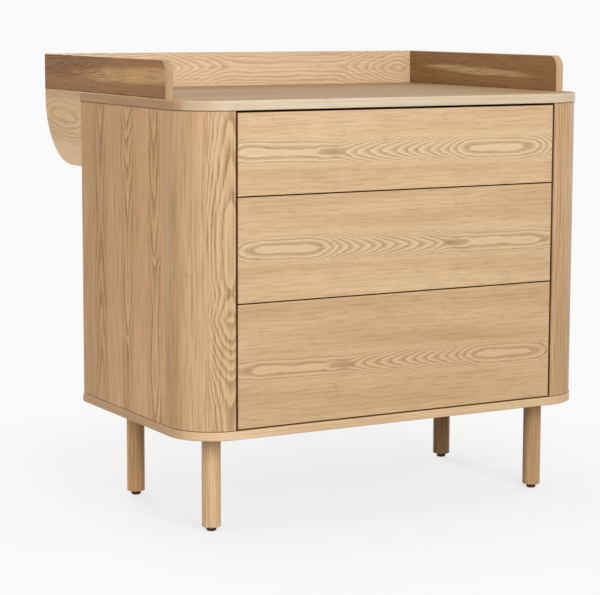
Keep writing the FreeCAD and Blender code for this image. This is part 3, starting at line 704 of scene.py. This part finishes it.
def side_veneer(finishes):
    """Upright veneer with three narrow flames, and on the left a knot with its arches beside the opening."""
    material, tree, shader, grain = mapped_material("side_veneer_upright")
    along, across = tree.split(grain)[:2]
    distance = tree.math("ABSOLUTE", across)
    rings = plain_rings(tree, grain, width=0.0095, flames=2.5, seed=3.0)
    contrast = 0.2
    for number, (heart, reach, climb) in enumerate(SIDE_FLAMES):
        flame = tree.group("Loop figure", Grain=tree.join(along, distance, float(number)),
                           Climb=tree.curve(along, climb), Heart=heart, Ring_width=0.016, Bluntness=0.45,
                           Bundling=0.1, Reach=reach, Sway=0.018, Jaggedness=0.9, Seed=float(number))
        rings, contrast = lay_figure(tree, flame, rings, contrast, strength=0.62)
    knot = tree.group("Loop figure", Grain=tree.join(along, distance, across),
                      Climb=tree.curve(along, KNOT_CLIMB), Heart=0.399, Ring_width=0.0125, Bluntness=0.9,
                      Bundling=0.05, Reach=0.062, Sway=0.012, Jaggedness=0.6, Seed=1.0)
    on_left = tree.math("LESS_THAN", across, 0.0)
    knot = {"Rings": knot["Rings"], "Nearness": tree.math("MULTIPLY", knot["Nearness"], on_left)}
    rings, contrast = lay_figure(tree, knot, rings, contrast, strength=0.56)
    # Round the bend the tones turn lighter and warmer, painted light that makes up for the light falling less
    # on the flank, and from there they deepen to the rear edge as painted shade
    turned = tree.between(distance, 0.5, 0.6)
    rear_painted_shade = tree.ramp(distance, [(0.0, 0.0), (0.62, 0.0), (0.72, 0.33), (0.85, 0.42), (0.95, 1.0),
                                    (1.0, 1.0)])
    leaves = zip(*(ash_tones(finishes, *tone) for tone in ((0.9, 0.17), (1.15, 0.28), (0.93, 0.36))))
    tones = [tree.mix(rear_painted_shade, tree.mix(turned, front, flank), rear) for front, flank, rear in leaves]
    # Painted shadow lines at the top and foot of the side, where it meets the top and bottom panels, and
    # along its end beside the drawers, where the gap is in shade
    low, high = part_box("side_panel_left")
    ends = painted_shadow_line(tree, along, low.z, high.z)
    ends = tree.math("MAXIMUM", ends, painted_shadow_line(tree, distance, abs(high.x)))
    tones = draw_painted_shadow_lines(tree, ends, tones, finishes.ash_dark)
    # The rings stand out more on the bend at the right
    right_bend = tree.math("MULTIPLY", tree.math("SUBTRACT", 1.0, on_left),
                           tree.between(distance, 0.5, 0.56, 1.0, 0.0))
    contrast = tree.math("MULTIPLY_ADD", right_bend, 0.16, contrast)
    dress(tree, shader, grain, rings, tones, contrast, seed=3.0, streaks=1.2, paleness=knot["Nearness"])
    return material


class CHEST_OT_case_panels(bpy.types.Operator):
    """Shape the top and bottom panels, and the shelf that carries the tray behind the case"""
    bl_idname = "chest.case_panels"
    bl_label = "Top, bottom and shelf"

    def execute(self, context):
        sizes, finishes = context.scene.chest_sizes, context.scene.chest_finishes
        flat = panel_veneer(finishes)
        # Top band: pale front strip as painted sheen, deeper side strips as painted shade; the base band's
        # deeper side strips are painted shade too
        top_band = sheen_and_shade_band("top_edge_band", pale_tones(finishes, 0.87, -0.2),
                             ash_tones(finishes, 0.73, 0.42))
        base_band = sheen_and_shade_band("base_edge_band", ash_tones(finishes, 1.1), ash_tones(finishes, 0.87, 0.32))
        self.panel("top_panel", "top_veneer", [flat, top_band], sizes.top_easing, sizes)
        self.panel("bottom_panel", "base_veneer", [flat, base_band], sizes.edge_easing, sizes)
        low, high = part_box("tray_shelf")
        roundings = [(lambda edge: lies_at(edge, y=high.y, z=low.z), sizes.front_easing, FINE_SEGMENTS)]
        make_board("tray_shelf", "board", roundings, crossways_grain, "top_veneer", [flat])
        return {"FINISHED"}

    def panel(self, node, slot, woods, upper_easing, sizes):
        """A panel with two round front corners, eased above and below, and its band running round them."""
        low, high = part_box(node)

        def front_corner(edge):
            return lies_at(edge, x=edge.verts[0].co.x, y=low.y)

        def places(normal, place):
            if abs(normal.z) > SQUARELY:
                return place.x, place.y
            return round_the_front(place, high.x, low.y, sizes.corner_radius), place.z

        roundings = [(front_corner, sizes.corner_radius, CORNER_SEGMENTS),
                     (outline_at(high.z, high.y), upper_easing, ROUND_SEGMENTS),
                     (outline_at(low.z, high.y), sizes.edge_easing, ROUND_SEGMENTS)]
        panel = make_board(node, "eased", roundings, places, slot, woods)
        give_faces(panel, 1, lambda normal: abs(normal.z) <= SQUARELY)


def panel_veneer(finishes):
    """Veneer of the flat faces of the panels, rubbed duller than the upright faces."""
    flat = plain_wood("panel_veneer", "map", ash_tones(finishes, 0.74, 0.17), width=0.02, flames=5.0,
                      contrast=0.22, seed=5.0, duller=0.1)
    flat.node_tree.nodes["Principled BSDF"].inputs["Specular IOR Level"].default_value = 0.06
    return flat


def sheen_and_shade_band(name, front, side):
    """Band round a panel's edge: one strip along the front, and a deeper one from the bends back. The deeper
    strip is painted shade on the sides, and on the top panel the pale front strip is a painted sheen.
    """
    material, tree, shader, grain = mapped_material(name)
    distance = tree.math("ABSOLUTE", tree.split(grain)["X"])
    deeper = tree.ramp(distance, [(0.0, 0.0), (0.4, 0.0), (0.45, 0.35), (0.496, 0.5), (0.504, 0.76),
                                  (0.56, 1.0), (1.0, 1.0)])
    tones = [tree.mix(deeper, pale, deep) for pale, deep in zip(front, side)]
    rings = plain_rings(tree, grain, width=0.012, flames=2.0, seed=6.0)
    dress(tree, shader, grain, rings, tones, contrast=0.12, seed=6.0)
    shader.inputs["Coat Weight"].default_value = 0.15
    shader.inputs["Coat Roughness"].default_value = 0.3
    return material


class CHEST_OT_drawer_fronts(bpy.types.Operator):
    """Ease the three drawer fronts, each with the looped figure of its veneer lying along it"""
    bl_idname = "chest.drawer_fronts"
    bl_label = "Drawer fronts"

    def execute(self, context):
        sizes, finishes = context.scene.chest_sizes, context.scene.chest_finishes
        # The deep tone on the edges of the fronts is painted shade, so that the gaps between the fronts read
        # dark
        edges = edge_wood("front_edge_band", ash_tones(finishes, 0.43, 0.42), seed=17.0)
        for number, level in enumerate(LEVELS):
            node = f"{level}_drawer_front"
            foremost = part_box(node)[0].y
            face = front_veneer(f"front_veneer_{level}", finishes, *FRONT_FIGURES_AND_SHADE[level], number)
            roundings = [(lambda edge: lies_at(edge, y=foremost), sizes.front_easing, EASED_SEGMENTS)]
            front = make_board(node, "eased", roundings, lambda normal, place: (place.x, place.z),
                               "front_veneer", [face, edges], f"{level}_drawer")
            give_faces(front, 1, lambda normal: abs(normal.y) <= PARTLY or abs(normal.x) >= HARDLY)
        return {"FINISHED"}


# Middle of each front's loop, the way it points, height of its heart line at x = 0, slope, and tone, which
# deepens and warms from the top front to the bottom one as painted shade where less light reaches low down
FRONT_FIGURES_AND_SHADE = {"top": (0.235, 1, 0.7735, -0.0105, (1.02, 0.02)),
                 "middle": (-0.267, -1, 0.5765, -0.0175, (0.97, 0.05)),
                 "bottom": (0.262, 1, 0.3335, -0.0185, (0.93, 0.11))}
# Rings climbed at each distance from the loop: the flame, the arches and the loop itself
FRONT_CLIMB = [(-0.65, 13.3), (-0.615, 12.9), (-0.595, 12.55), (-0.575, 12.6), (-0.54, 12.72),
               (-0.46, 12.66), (-0.443, 12.72), (-0.428, 12.4), (-0.382, 12.2), (-0.372, 11.95),
               (-0.36, 11.55), (-0.347, 11.0), (-0.313, 10.0), (-0.284, 9.0), (-0.25, 8.0), (-0.221, 7.0),
               (-0.196, 6.0), (-0.167, 5.0), (-0.143, 4.0), (-0.118, 3.0), (-0.099, 2.0), (-0.074, 1.05),
               (-0.045, 0.72), (0.06, 0.72), (0.096, 1.2), (0.115, 2.0), (0.13, 3.0), (0.15, 4.2)]
# How blunt the ends of the rings are at the same distances: pointed arches between round ones
FRONT_BLUNTNESS = [(-0.65, 1.0), (-0.44, 1.0), (-0.4, 0.45), (-0.16, 0.45), (-0.06, 1.0), (0.15, 1.0)]


def front_veneer(name, finishes, loop, way, heart, tilt, tone, number):
    """Lying veneer with one long loop, arches that point away from it and a broad pale flame beyond them."""
    material, tree, shader, grain = mapped_material(name)
    along, across = tree.split(grain)[:2]
    toward = tree.math("MULTIPLY", tree.math("SUBTRACT", along, loop), float(way))
    figure = tree.group("Loop figure", Grain=tree.join(along, across, float(number)),
                        Climb=tree.curve(toward, FRONT_CLIMB), Heart=heart, Tilt=tilt, Ring_width=0.0098,
                        Bluntness=tree.curve(toward, FRONT_BLUNTNESS), Bundling=0.16, Reach=0.031, Sway=0.011,
                        Jaggedness=0.75, Seed=0.0)
    rings = plain_rings(tree, grain, width=0.011, flames=2.6, seed=50.0 + number * 5)
    rings, contrast = lay_figure(tree, figure, rings, contrast=0.14, strength=0.52)
    # A dark eye between the arches and the flame
    above = tree.math("SUBTRACT", across, tree.math("MULTIPLY_ADD", along, tilt, heart))
    ragged = tree.noise(grain, (26.0, 190.0, 1.0), detail=3.0, roughness=0.6)
    eye = oval(tree, tree.math("ADD", toward, 0.404), above, (0.03, 0.009))
    eye = tree.between(tree.math("MULTIPLY_ADD", ragged, 2.4, eye), 1.0, 3.0, 0.4, 0.0)
    light, middle, dark = ash_tones(finishes, *tone)
    tones = (tree.mix(eye, light, dark), tree.mix(eye, middle, dark), dark)
    streaks = tree.math("MULTIPLY_ADD", figure["Nearness"], -0.6, 0.85)
    dress(tree, shader, grain, rings, tones, contrast, seed=20.0 + number, streaks=streaks,
          paleness=figure["Nearness"], fineness=4.0)
    return material


class CHEST_OT_tray_rails(bpy.types.Operator):
    """Shape the two tray rails, dark on their faces and light on their edges"""
    bl_idname = "chest.tray_rails"
    bl_label = "Tray rails"

    def execute(self, context):
        sizes, finishes = context.scene.chest_sizes, context.scene.chest_finishes
        left_face, right_face = (rail_veneer(f"rail_face_veneer_{side}", finishes, *RAIL_STREAKS[side])
                                 for side in SIDES)
        for side, share in (("left", 0.73), ("right", 0.92)):
            edges = edge_wood(f"rail_edge_band_{side}", ash_tones(finishes, share, 0.1), seed=12.0)
            node = f"tray_rail_{side}"
            low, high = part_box(node)
            roundings = [
                (lambda edge: lies_at(edge, y=low.y, z=high.z), sizes.rail_corner_radius, RAIL_SEGMENTS),
                (face_outline(low, high, {"y": high.y}), sizes.edge_easing, EASED_SEGMENTS)]
            rail = make_board(node, "shaped", roundings, upright_grain, "rail_wood",
                              [right_face, edges, left_face])
            give_faces(rail, 1, lambda normal: abs(normal.x) <= SQUARELY)
            # The left rail's own leaf is on its outer face
            if side == "left":
                give_faces(rail, 2, lambda normal: normal.x < -SQUARELY)
        return {"FINISHED"}


# Light streak of each rail: middle, half length and half height, slope and raggedness, then the share of the
# V's depth and the tone of the leaf
RAIL_STREAKS = {"left": ((-0.14, 0.925), (0.31, 0.017), -0.018, 1.1, 1.0, (1.41, 0.24)),
                "right": ((0.07, 0.919), (0.22, 0.009), 0.028, 2.6, 0.15, (1.12, -0.13))}
# Level before the V, its lowest place, the crest behind it and the rear end
RAIL_FALL = [(0.0, 0.0), (0.05, 0.0), (0.11, 0.3), (0.193, 1.0), (0.287, 0.5), (0.365, 0.65)]


def rail_veneer(name, finishes, middle, half, slope, raggedness, dip, tone):
    """Dark veneer with one light streak along it, and lines that dip in a V towards the rear."""
    material, tree, shader, grain = mapped_material(name)
    along, across = tree.split(grain)[:2]
    beside = tree.math("SUBTRACT", along, middle[0])
    above = tree.math("SUBTRACT", across, tree.math("MULTIPLY_ADD", beside, slope, middle[1]))
    ragged = tree.noise(grain, (8.0, 190.0, 1.0), detail=4.0, roughness=0.6)
    streak = tree.sway(oval(tree, beside, above, half), ragged, raggedness)
    streak = tree.between(streak, 0.1, 1.6, 0.85, 0.0)
    fall = tree.ramp(along, RAIL_FALL)
    dipped = tree.join(along, tree.math("MULTIPLY_ADD", fall, dip * 0.017, across), 0.0)
    rings = plain_rings(tree, dipped, width=0.0055, flames=1.6, seed=11.0)
    upper_rear = tree.math("MULTIPLY", tree.between(across, 0.906, 0.922), tree.between(along, 0.02, 0.1))
    contrast = tree.math("MULTIPLY_ADD", upper_rear, dip * 0.55, 0.15)
    light, ground, dark = toned((finishes.rail_light, finishes.rail_middle, finishes.rail_dark), *tone)
    deeper = toned([ground], 0.84, 0.06)[0]
    low = tree.between(across, 0.886, 0.906, 0.7, 0.0)
    tones = [tree.mix(streak, tree.mix(low, ground, deeper), light), tree.mix(streak, deeper, light), dark]
    # Painted shadow line along the rail's foot, where it meets the top panel
    foot = painted_shadow_line(tree, across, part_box("tray_rail_left")[0].z)
    tones = draw_painted_shadow_lines(tree, foot, tones, finishes.rail_dark)
    dress(tree, shader, grain, rings, tones, contrast, seed=11.0, streaks=1.6, fineness=3.0)
    return material


class CHEST_OT_tray_back_board(bpy.types.Operator):
    """Shape the pale board across the rear of the tray, with its nested arches and its eye"""
    bl_idname = "chest.tray_back_board"
    bl_label = "Tray back board"

    def execute(self, context):
        sizes, finishes = context.scene.chest_sizes, context.scene.chest_finishes
        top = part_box("tray_back_board")[1].z
        roundings = [(lambda edge: lies_at(edge, y=edge.verts[0].co.y, z=top), sizes.edge_easing,
                      EASED_SEGMENTS)]
        make_board("tray_back_board", "shaped", roundings, crossways_grain, "back_board_wood",
                   [back_board_veneer(finishes)])
        return {"FINISHED"}


# Rings climbed from the left end of the back board to its right end
BACK_BOARD_CLIMB = [(-0.47, 5.0), (-0.38, 3.0), (-0.3, 1.0), (-0.21, 0.0), (-0.177, 1.0), (-0.157, 2.0),
                    (-0.133, 3.0), (-0.108, 4.0), (-0.079, 5.0), (-0.049, 6.0), (-0.02, 6.5), (0.255, 6.5),
                    (0.289, 6.0), (0.313, 5.0), (0.343, 4.0), (0.367, 3.0), (0.392, 2.0), (0.418, 1.1),
                    (0.436, 0.75), (0.454, 1.1), (0.47, 1.7)]


def back_board_veneer(finishes):
    """Pale veneer whose arches close on an eye near the right end."""
    material, tree, shader, grain = mapped_material("back_board_veneer")
    climb = tree.curve(tree.split(grain)["X"], BACK_BOARD_CLIMB)
    figure = tree.group("Loop figure", Grain=grain, Climb=climb, Heart=0.924, Tilt=-0.01, Ring_width=0.009,
                        Bluntness=0.9, Bundling=0.01, Sway=0.03, Jaggedness=1.7, Seed=9.0)
    dress(tree, shader, grain, figure["Rings"], pale_tones(finishes), contrast=0.44, seed=9.0)
    return material


class CHEST_OT_tray_brackets(bpy.types.Operator):
    """Shape the two brackets under the tray, each with its large round corner"""
    bl_idname = "chest.tray_brackets"
    bl_label = "Tray brackets"

    def execute(self, context):
        sizes, finishes = context.scene.chest_sizes, context.scene.chest_finishes
        woods = [bracket_veneer(finishes), edge_wood("bracket_edge_band", ash_tones(finishes), seed=15.0)]
        for side in SIDES:
            node = f"tray_bracket_{side}"
            low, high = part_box(node)
            roundings = [
                (lambda edge: lies_at(edge, y=high.y, z=low.z), sizes.bracket_radius, CORNER_SEGMENTS),
                (face_outline(low, high, {"z": high.z}, {"y": low.y}), sizes.edge_easing, EASED_SEGMENTS)]
            bracket = make_board(node, "shaped", roundings, upright_grain, "bracket_wood", woods)
            give_faces(bracket, 1, lambda normal: abs(normal.x) <= SQUARELY)
        return {"FINISHED"}


# Rings climbed from front to rear round the bracket's eye, and how much they stand out at each height
BRACKET_CLIMB = [(0.165, 1.7), (0.185, 1.15), (0.2, 0.9), (0.225, 0.66), (0.256, 0.6), (0.29, 0.66),
                 (0.315, 0.9), (0.335, 1.25), (0.365, 2.0)]
BRACKET_CONTRAST = [(0.75, 0.08), (0.7644, 0.12), (0.78, 0.46), (0.822, 0.4), (0.846, 0.26), (0.87, 0.2)]


def bracket_veneer(finishes):
    """Pale veneer with an oval eye, rings that close up below it and a plain lower end."""
    material, tree, shader, grain = mapped_material("bracket_veneer")
    along, across = tree.split(grain)[:2]
    figure = tree.group("Loop figure", Grain=grain, Climb=tree.curve(along, BRACKET_CLIMB), Heart=0.8136,
                        Tilt=0.06, Ring_width=0.0134, Bluntness=0.8, Bundling=0.03, Sway=0.016,
                        Jaggedness=0.8, Seed=6.0)
    plain_end = tree.between(across, 0.752, 0.776, 1.0, 0.0)
    # The strip just under the rail is deeper: painted shadow of the rail, with darker wood there as well
    rail_shadow_and_darker_wood = tree.between(across, 0.85, 0.874)
    leaves = zip(pale_tones(finishes, 1.1, 0.22), pale_tones(finishes, 0.9, 0.34))
    tones = [tree.mix(rail_shadow_and_darker_wood, pale, deep) for pale, deep in leaves]
    dress(tree, shader, grain, figure["Rings"], tones, tree.curve(across, BRACKET_CONTRAST), seed=14.0,
          paleness=plain_end, fineness=3.0)
    return material


class CHEST_OT_legs(bpy.types.Operator):
    """Turn the four legs, each from its own piece of wood toned with painted light and shade, with a domed
    glide under it
    """
    bl_idname = "chest.legs"
    bl_label = "Legs and glides"

    def execute(self, context):
        sizes, finishes = context.scene.chest_sizes, context.scene.chest_finishes
        domes = []
        for number, (corner, (tone, flames)) in enumerate(LEG_WOODS_AND_SHADE.items()):
            low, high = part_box(f"leg_{corner}")
            leg = start_round(f"leg_{corner}_turned", low, high, LEG_SIDES)
            round_edges(leg, lambda edge: lies_at(edge, z=low.z), sizes.leg_easing, ROUND_SEGMENTS)
            smooth(leg)
            # The leg's tone holds painted light and shade: the rear-right leg is deepened as painted shade
            # under the case
            wood = plain_wood(f"leg_wood_{corner}", "z", ash_tones(finishes, *tone), width=0.005,
                              flames=flames, contrast=0.34, seed=30.0 + number * 7, streaks=0.7)
            finish_piece(leg, "cabinet", "leg_wood", [wood], f"leg_{corner}")
            domes.append(self.dome((low + high) / 2, low.z, sizes))
        deselect_everything()
        for dome in domes:
            dome.select_set(True)
        context.view_layer.objects.active = domes[0]
        bpy.ops.object.join()
        glides = context.object
        glides.name = glides.data.name = "leg_glide_domes"
        smooth(glides)
        plastic = speckled("glide_plastic_dark", finishes.glide, roughness=0.45)
        finish_piece(glides, "cabinet", "glide_plastic", [plastic], "leg_glides")
        return {"FINISHED"}

    def dome(self, middle, top, sizes):
        """The domed glide under one leg."""
        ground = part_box("leg_glides")[0].z
        low = Vector((middle.x - GLIDE_RADIUS, middle.y - GLIDE_RADIUS, ground))
        high = Vector((middle.x + GLIDE_RADIUS, middle.y + GLIDE_RADIUS, top))
        dome = start_round("glide", low, high, GLIDE_SIDES)
        round_edges(dome, lambda edge: lies_at(edge, z=ground), sizes.glide_rounding, GLIDE_SEGMENTS)
        return dome


# Tone of each leg's wood, and how much its rings flame. The tones hold painted light and shade for how much
# light reaches each leg under the case, most of all the deep painted shade of the rear-right leg
LEG_WOODS_AND_SHADE = {"front_left": ((1.17, 0.03), 2.0), "front_right": ((0.85, 0.19), 6.0),
             "rear_left": ((1.16, 0.28), 2.0), "rear_right": ((0.5, 0.38), 6.0)}
GLIDE_RADIUS = 0.0105


def speckled(name, tone, roughness, metallic=0.0, fineness=900.0, swing=0.12):
    """Moulded plastic or plated metal: a fine uneven grain in colour, gloss and height."""
    material, tree, shader = new_material(name)
    place = tree.node("ShaderNodeTexCoord").outputs["Object"]
    fine = tree.noise(place, (fineness, fineness, fineness))
    broad = tree.noise(place, (60.0, 60.0, 60.0))
    darker = tuple(level * (1 - 2 * swing) for level in tone[:3]) + (1.0,)
    share = tree.math("MULTIPLY", tree.math("ADD", fine, broad), 0.5)
    tree.feed(shader.inputs["Base Color"], tree.mix(share, tone, darker))
    tree.feed(shader.inputs["Roughness"], tree.math("MULTIPLY_ADD", broad, 0.2, roughness - 0.1))
    shader.inputs["Metallic"].default_value = metallic
    tree.bump(shader, fine, strength=0.15, distance=0.0002)
    return material


class CHEST_OT_inside_finishes(bpy.types.Operator):
    """Give the boards, runners, latches and screws inside and behind the chest their finishes"""
    bl_idname = "chest.inside_finishes"
    bl_label = "Inside finishes"

    def execute(self, context):
        finishes = context.scene.chest_finishes
        box = (finishes.box_light, finishes.box_middle, finishes.box_dark)
        ash = ash_tones(finishes, 0.94)
        woods = {
            "partition_board_upright": ("z", ash, ["partition_left", "partition_right"]),
            "back_panel_board": ("x", ash, ["back_panel"]),
            "cleat_board": ("x", ash, ["tray_cleat"]),
            "dowel_beech": ("z", box, ["dowels"]),
            "drawer_box_lengthways": ("y", box, at_each_level("drawer_side_left", "drawer_side_right")),
            "drawer_box_crossways": ("x", box, at_each_level("drawer_box_front", "drawer_back")),
            "drawer_bottom_board": ("x_flat", box, at_each_level("drawer_bottom")),
        }
        for number, (name, (direction, tones, nodes)) in enumerate(woods.items()):
            wood = plain_wood(name, direction, tones, width=0.011, flames=6.0, contrast=0.3,
                              seed=40.0 + number * 3)
            give(wood, nodes)
        runner_steel = speckled("zinc_plated_steel", finishes.steel, roughness=0.38, metallic=1.0,
                                fineness=1400.0, swing=0.08)
        give(runner_steel, ["runner_cabinet_members"] + at_each_level("centre_members", "drawer_members"))
        screw_steel = speckled("screw_steel_bright", finishes.steel, roughness=0.3, metallic=1.0,
                               fineness=2000.0, swing=0.1)
        give(screw_steel, ["back_screws", "tray_screws", "small_screws", "leg_bolts", "leg_tee_nuts"]
             + at_each_level("front_screws", "member_screws"))
        give(speckled("latch_plastic_pale", finishes.latch, roughness=0.5), ["latch_housings"])
        give(speckled("plunger_plastic_pale", finishes.latch, roughness=0.4), at_each_level("latch_plunger"))
        return {"FINISHED"}


def at_each_level(*parts):
    """The nodes of these parts of the three drawers."""
    return [f"{level}_{part}" for level in LEVELS for part in parts]


def give(material, nodes):
    """Put one material on several nodes."""
    for name in nodes:
        mesh = NODES[name].data
        mesh.materials.clear()
        mesh.materials.append(material)


class CHEST_OT_studio(bpy.types.Operator):
    """Lay the pale floor, hang the soft lamps and set up the camera"""
    bl_idname = "chest.studio"
    bl_label = "Studio"

    def execute(self, context):
        studio = context.scene.chest_studio
        self.lay_floor(studio)
        self.light_room(context, studio)
        for name, (place, size) in LAMPS.items():
            self.hang_lamp(f"studio_{name}", place, size, getattr(studio, f"{name}_power"))
        self.place_camera(context, studio)
        return {"FINISHED"}

    def lay_floor(self, studio):
        """A wide pale floor that keeps the soft shadow of the chest."""
        deselect_everything()
        bpy.ops.mesh.primitive_plane_add(size=FLOOR_SIZE, calc_uvs=False, location=(0, 0, FLOOR_LEVEL))
        floor = bpy.context.object
        floor.name = floor.data.name = "studio_floor"
        material = bpy.data.materials.new("studio_floor_paint")
        material.use_nodes = True
        material.node_tree.nodes.clear()
        tree = Tree(material.node_tree)
        matt = tree.node("ShaderNodeBsdfDiffuse", FLOOR_GREY).outputs[0]
        shadow = tree.node("ShaderNodeBsdfDiffuse", SHADOW_GREY).outputs[0]
        glow = tree.node("ShaderNodeEmission", studio.backdrop, FLOOR_GLOW).outputs[0]
        near = tree.node("ShaderNodeAddShader", shadow, glow).outputs[0]
        far = tree.node("ShaderNodeEmission", studio.backdrop).outputs[0]
        place = tree.node("ShaderNodeTexCoord").outputs["Object"]
        distance = tree.node("ShaderNodeVectorMath", place, operation="LENGTH").outputs["Value"]
        fade = tree.between(distance, *SHADOW_FADE)
        shown = tree.node("ShaderNodeMixShader", fade, near, far).outputs[0]
        chosen = tree.node("ShaderNodeMixShader", seen_by_camera(tree), matt, shown).outputs[0]
        tree.node("ShaderNodeOutputMaterial", chosen)
        floor.data.materials.append(material)

    def light_room(self, context, studio):
        """Even light from all round, in front of a pale backdrop."""
        world = bpy.data.worlds.new("studio_room")
        context.scene.world = world
        world.use_nodes = True
        world.node_tree.nodes.clear()
        tree = Tree(world.node_tree)
        room = tree.node("ShaderNodeBackground", ROOM_GREY, studio.ambient).outputs[0]
        backdrop = tree.node("ShaderNodeBackground", studio.backdrop).outputs[0]
        chosen = tree.node("ShaderNodeMixShader", seen_by_camera(tree), room, backdrop).outputs[0]
        tree.node("ShaderNodeOutputWorld", chosen)

    def hang_lamp(self, name, place, size, power):
        """A square soft lamp that faces the middle of the chest."""
        deselect_everything()
        bpy.ops.object.light_add(type="AREA", location=place)
        lamp = bpy.context.object
        lamp.name = lamp.data.name = name
        lamp.data.size = size
        lamp.data.energy = power
        lamp.rotation_euler = (CHEST_MIDDLE - Vector(place)).to_track_quat("-Z", "Y").to_euler()

    def place_camera(self, context, studio):
        """The camera, where the photograph was taken from."""
        deselect_everything()
        bpy.ops.object.camera_add()
        camera = bpy.context.object
        camera.name = camera.data.name = "studio_camera"
        turn = Matrix((CAMERA_RIGHT, CAMERA_UP, -CAMERA_AHEAD)).transposed().to_4x4()
        camera.matrix_world = Matrix.Translation(CAMERA_PLACE) @ turn
        camera.data.lens = studio.lens
        camera.data.sensor_width = SENSOR_WIDTH
        camera.data.shift_y = CAMERA_SHIFT
        camera.data.clip_end = FARTHEST_SEEN
        context.scene.camera = camera
        context.scene.view_settings.view_transform = "Standard"


# The floor, in metres: its size, its level, and where its shadow fades into the backdrop
FLOOR_SIZE = 60
FLOOR_LEVEL = -0.0002
SHADOW_FADE = (0.5, 1.2)
# Greys of the floor as it lights the chest and as it is seen, with the glow that makes up the rest
FLOOR_GREY = (0.32, 0.32, 0.32, 1)
SHADOW_GREY = (0.26, 0.26, 0.26, 1)
FLOOR_GLOW = 0.742
ROOM_GREY = (0.8, 0.8, 0.8, 1)
# Place and size of each lamp, and where all of them point
LAMPS = {"key": ((-0.5, -4.3, 2.1), 3.0), "left": ((-4.6, -0.8, 1.8), 3.0), "right": ((4.6, 0.6, 1.8), 3.0),
         "rear": ((0.0, 4.6, 2.5), 2.0)}
CHEST_MIDDLE = Vector((0, 0, 0.5))
CAMERA_PLACE = Vector((-2.27033, -3.95185, 1.06009))
CAMERA_RIGHT = Vector((0.87064, -0.491912, 0.002897))
CAMERA_UP = Vector((0.061603, 0.114871, 0.991468))
CAMERA_AHEAD = Vector((0.488048, 0.863034, -0.130315))
CAMERA_SHIFT = -0.03
SENSOR_WIDTH = 36
FARTHEST_SEEN = 200


def seen_by_camera(tree):
    """1 for rays that show the backdrop: from the camera, off gloss and through glass."""
    path = tree.node("ShaderNodeLightPath").outputs
    shown = tree.math("MAXIMUM", path["Is Camera Ray"], path["Is Glossy Ray"])
    return tree.math("MAXIMUM", shown, path["Is Transmission Ray"])


class CHEST_PT_sidebar(bpy.types.Panel):
    """Lists the makers of the chest's pieces, with their sizes and colours"""
    bl_idname = "CHEST_PT_sidebar"
    bl_label = "Chest of drawers"
    bl_space_type = "VIEW_3D"
    bl_region_type = "UI"
    bl_category = "Chest"

    def draw(self, context):
        for operator in OPERATORS:
            self.layout.operator(operator.bl_idname)
        for name in SETTINGS:
            settings = getattr(context.scene, name)
            column = self.layout.box().column()
            for setting in settings.__annotations__:
                column.prop(settings, setting)


SETTINGS = {"chest_sizes": ChestSizes, "chest_finishes": ChestFinishes, "chest_studio": ChestStudio}
OPERATORS = (CHEST_OT_side_panels, CHEST_OT_case_panels, CHEST_OT_drawer_fronts, CHEST_OT_tray_rails,
             CHEST_OT_tray_back_board, CHEST_OT_tray_brackets, CHEST_OT_legs, CHEST_OT_inside_finishes,
             CHEST_OT_studio)


def register():
    for settings in SETTINGS.values():
        bpy.utils.register_class(settings)
    for name, settings in SETTINGS.items():
        setattr(bpy.types.Scene, name, bpy.props.PointerProperty(type=settings))
    for shown in (*OPERATORS, CHEST_PT_sidebar):
        bpy.utils.register_class(shown)


def unregister():
    for shown in reversed((*OPERATORS, CHEST_PT_sidebar)):
        bpy.utils.unregister_class(shown)
    for name in SETTINGS:
        delattr(bpy.types.Scene, name)
    for settings in reversed(list(SETTINGS.values())):
        bpy.utils.unregister_class(settings)


def main():
    """Register the add-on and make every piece."""
    register()
    for make in (make_fibres_group, make_plain_grain_group, make_loop_figure_group, make_surface_group):
        make()
    bpy.ops.chest.side_panels()
    bpy.ops.chest.case_panels()
    bpy.ops.chest.drawer_fronts()
    bpy.ops.chest.tray_rails()
    bpy.ops.chest.tray_back_board()
    bpy.ops.chest.tray_brackets()
    bpy.ops.chest.legs()
    bpy.ops.chest.inside_finishes()
    bpy.ops.chest.studio()


if __name__ == "__main__":
    main()
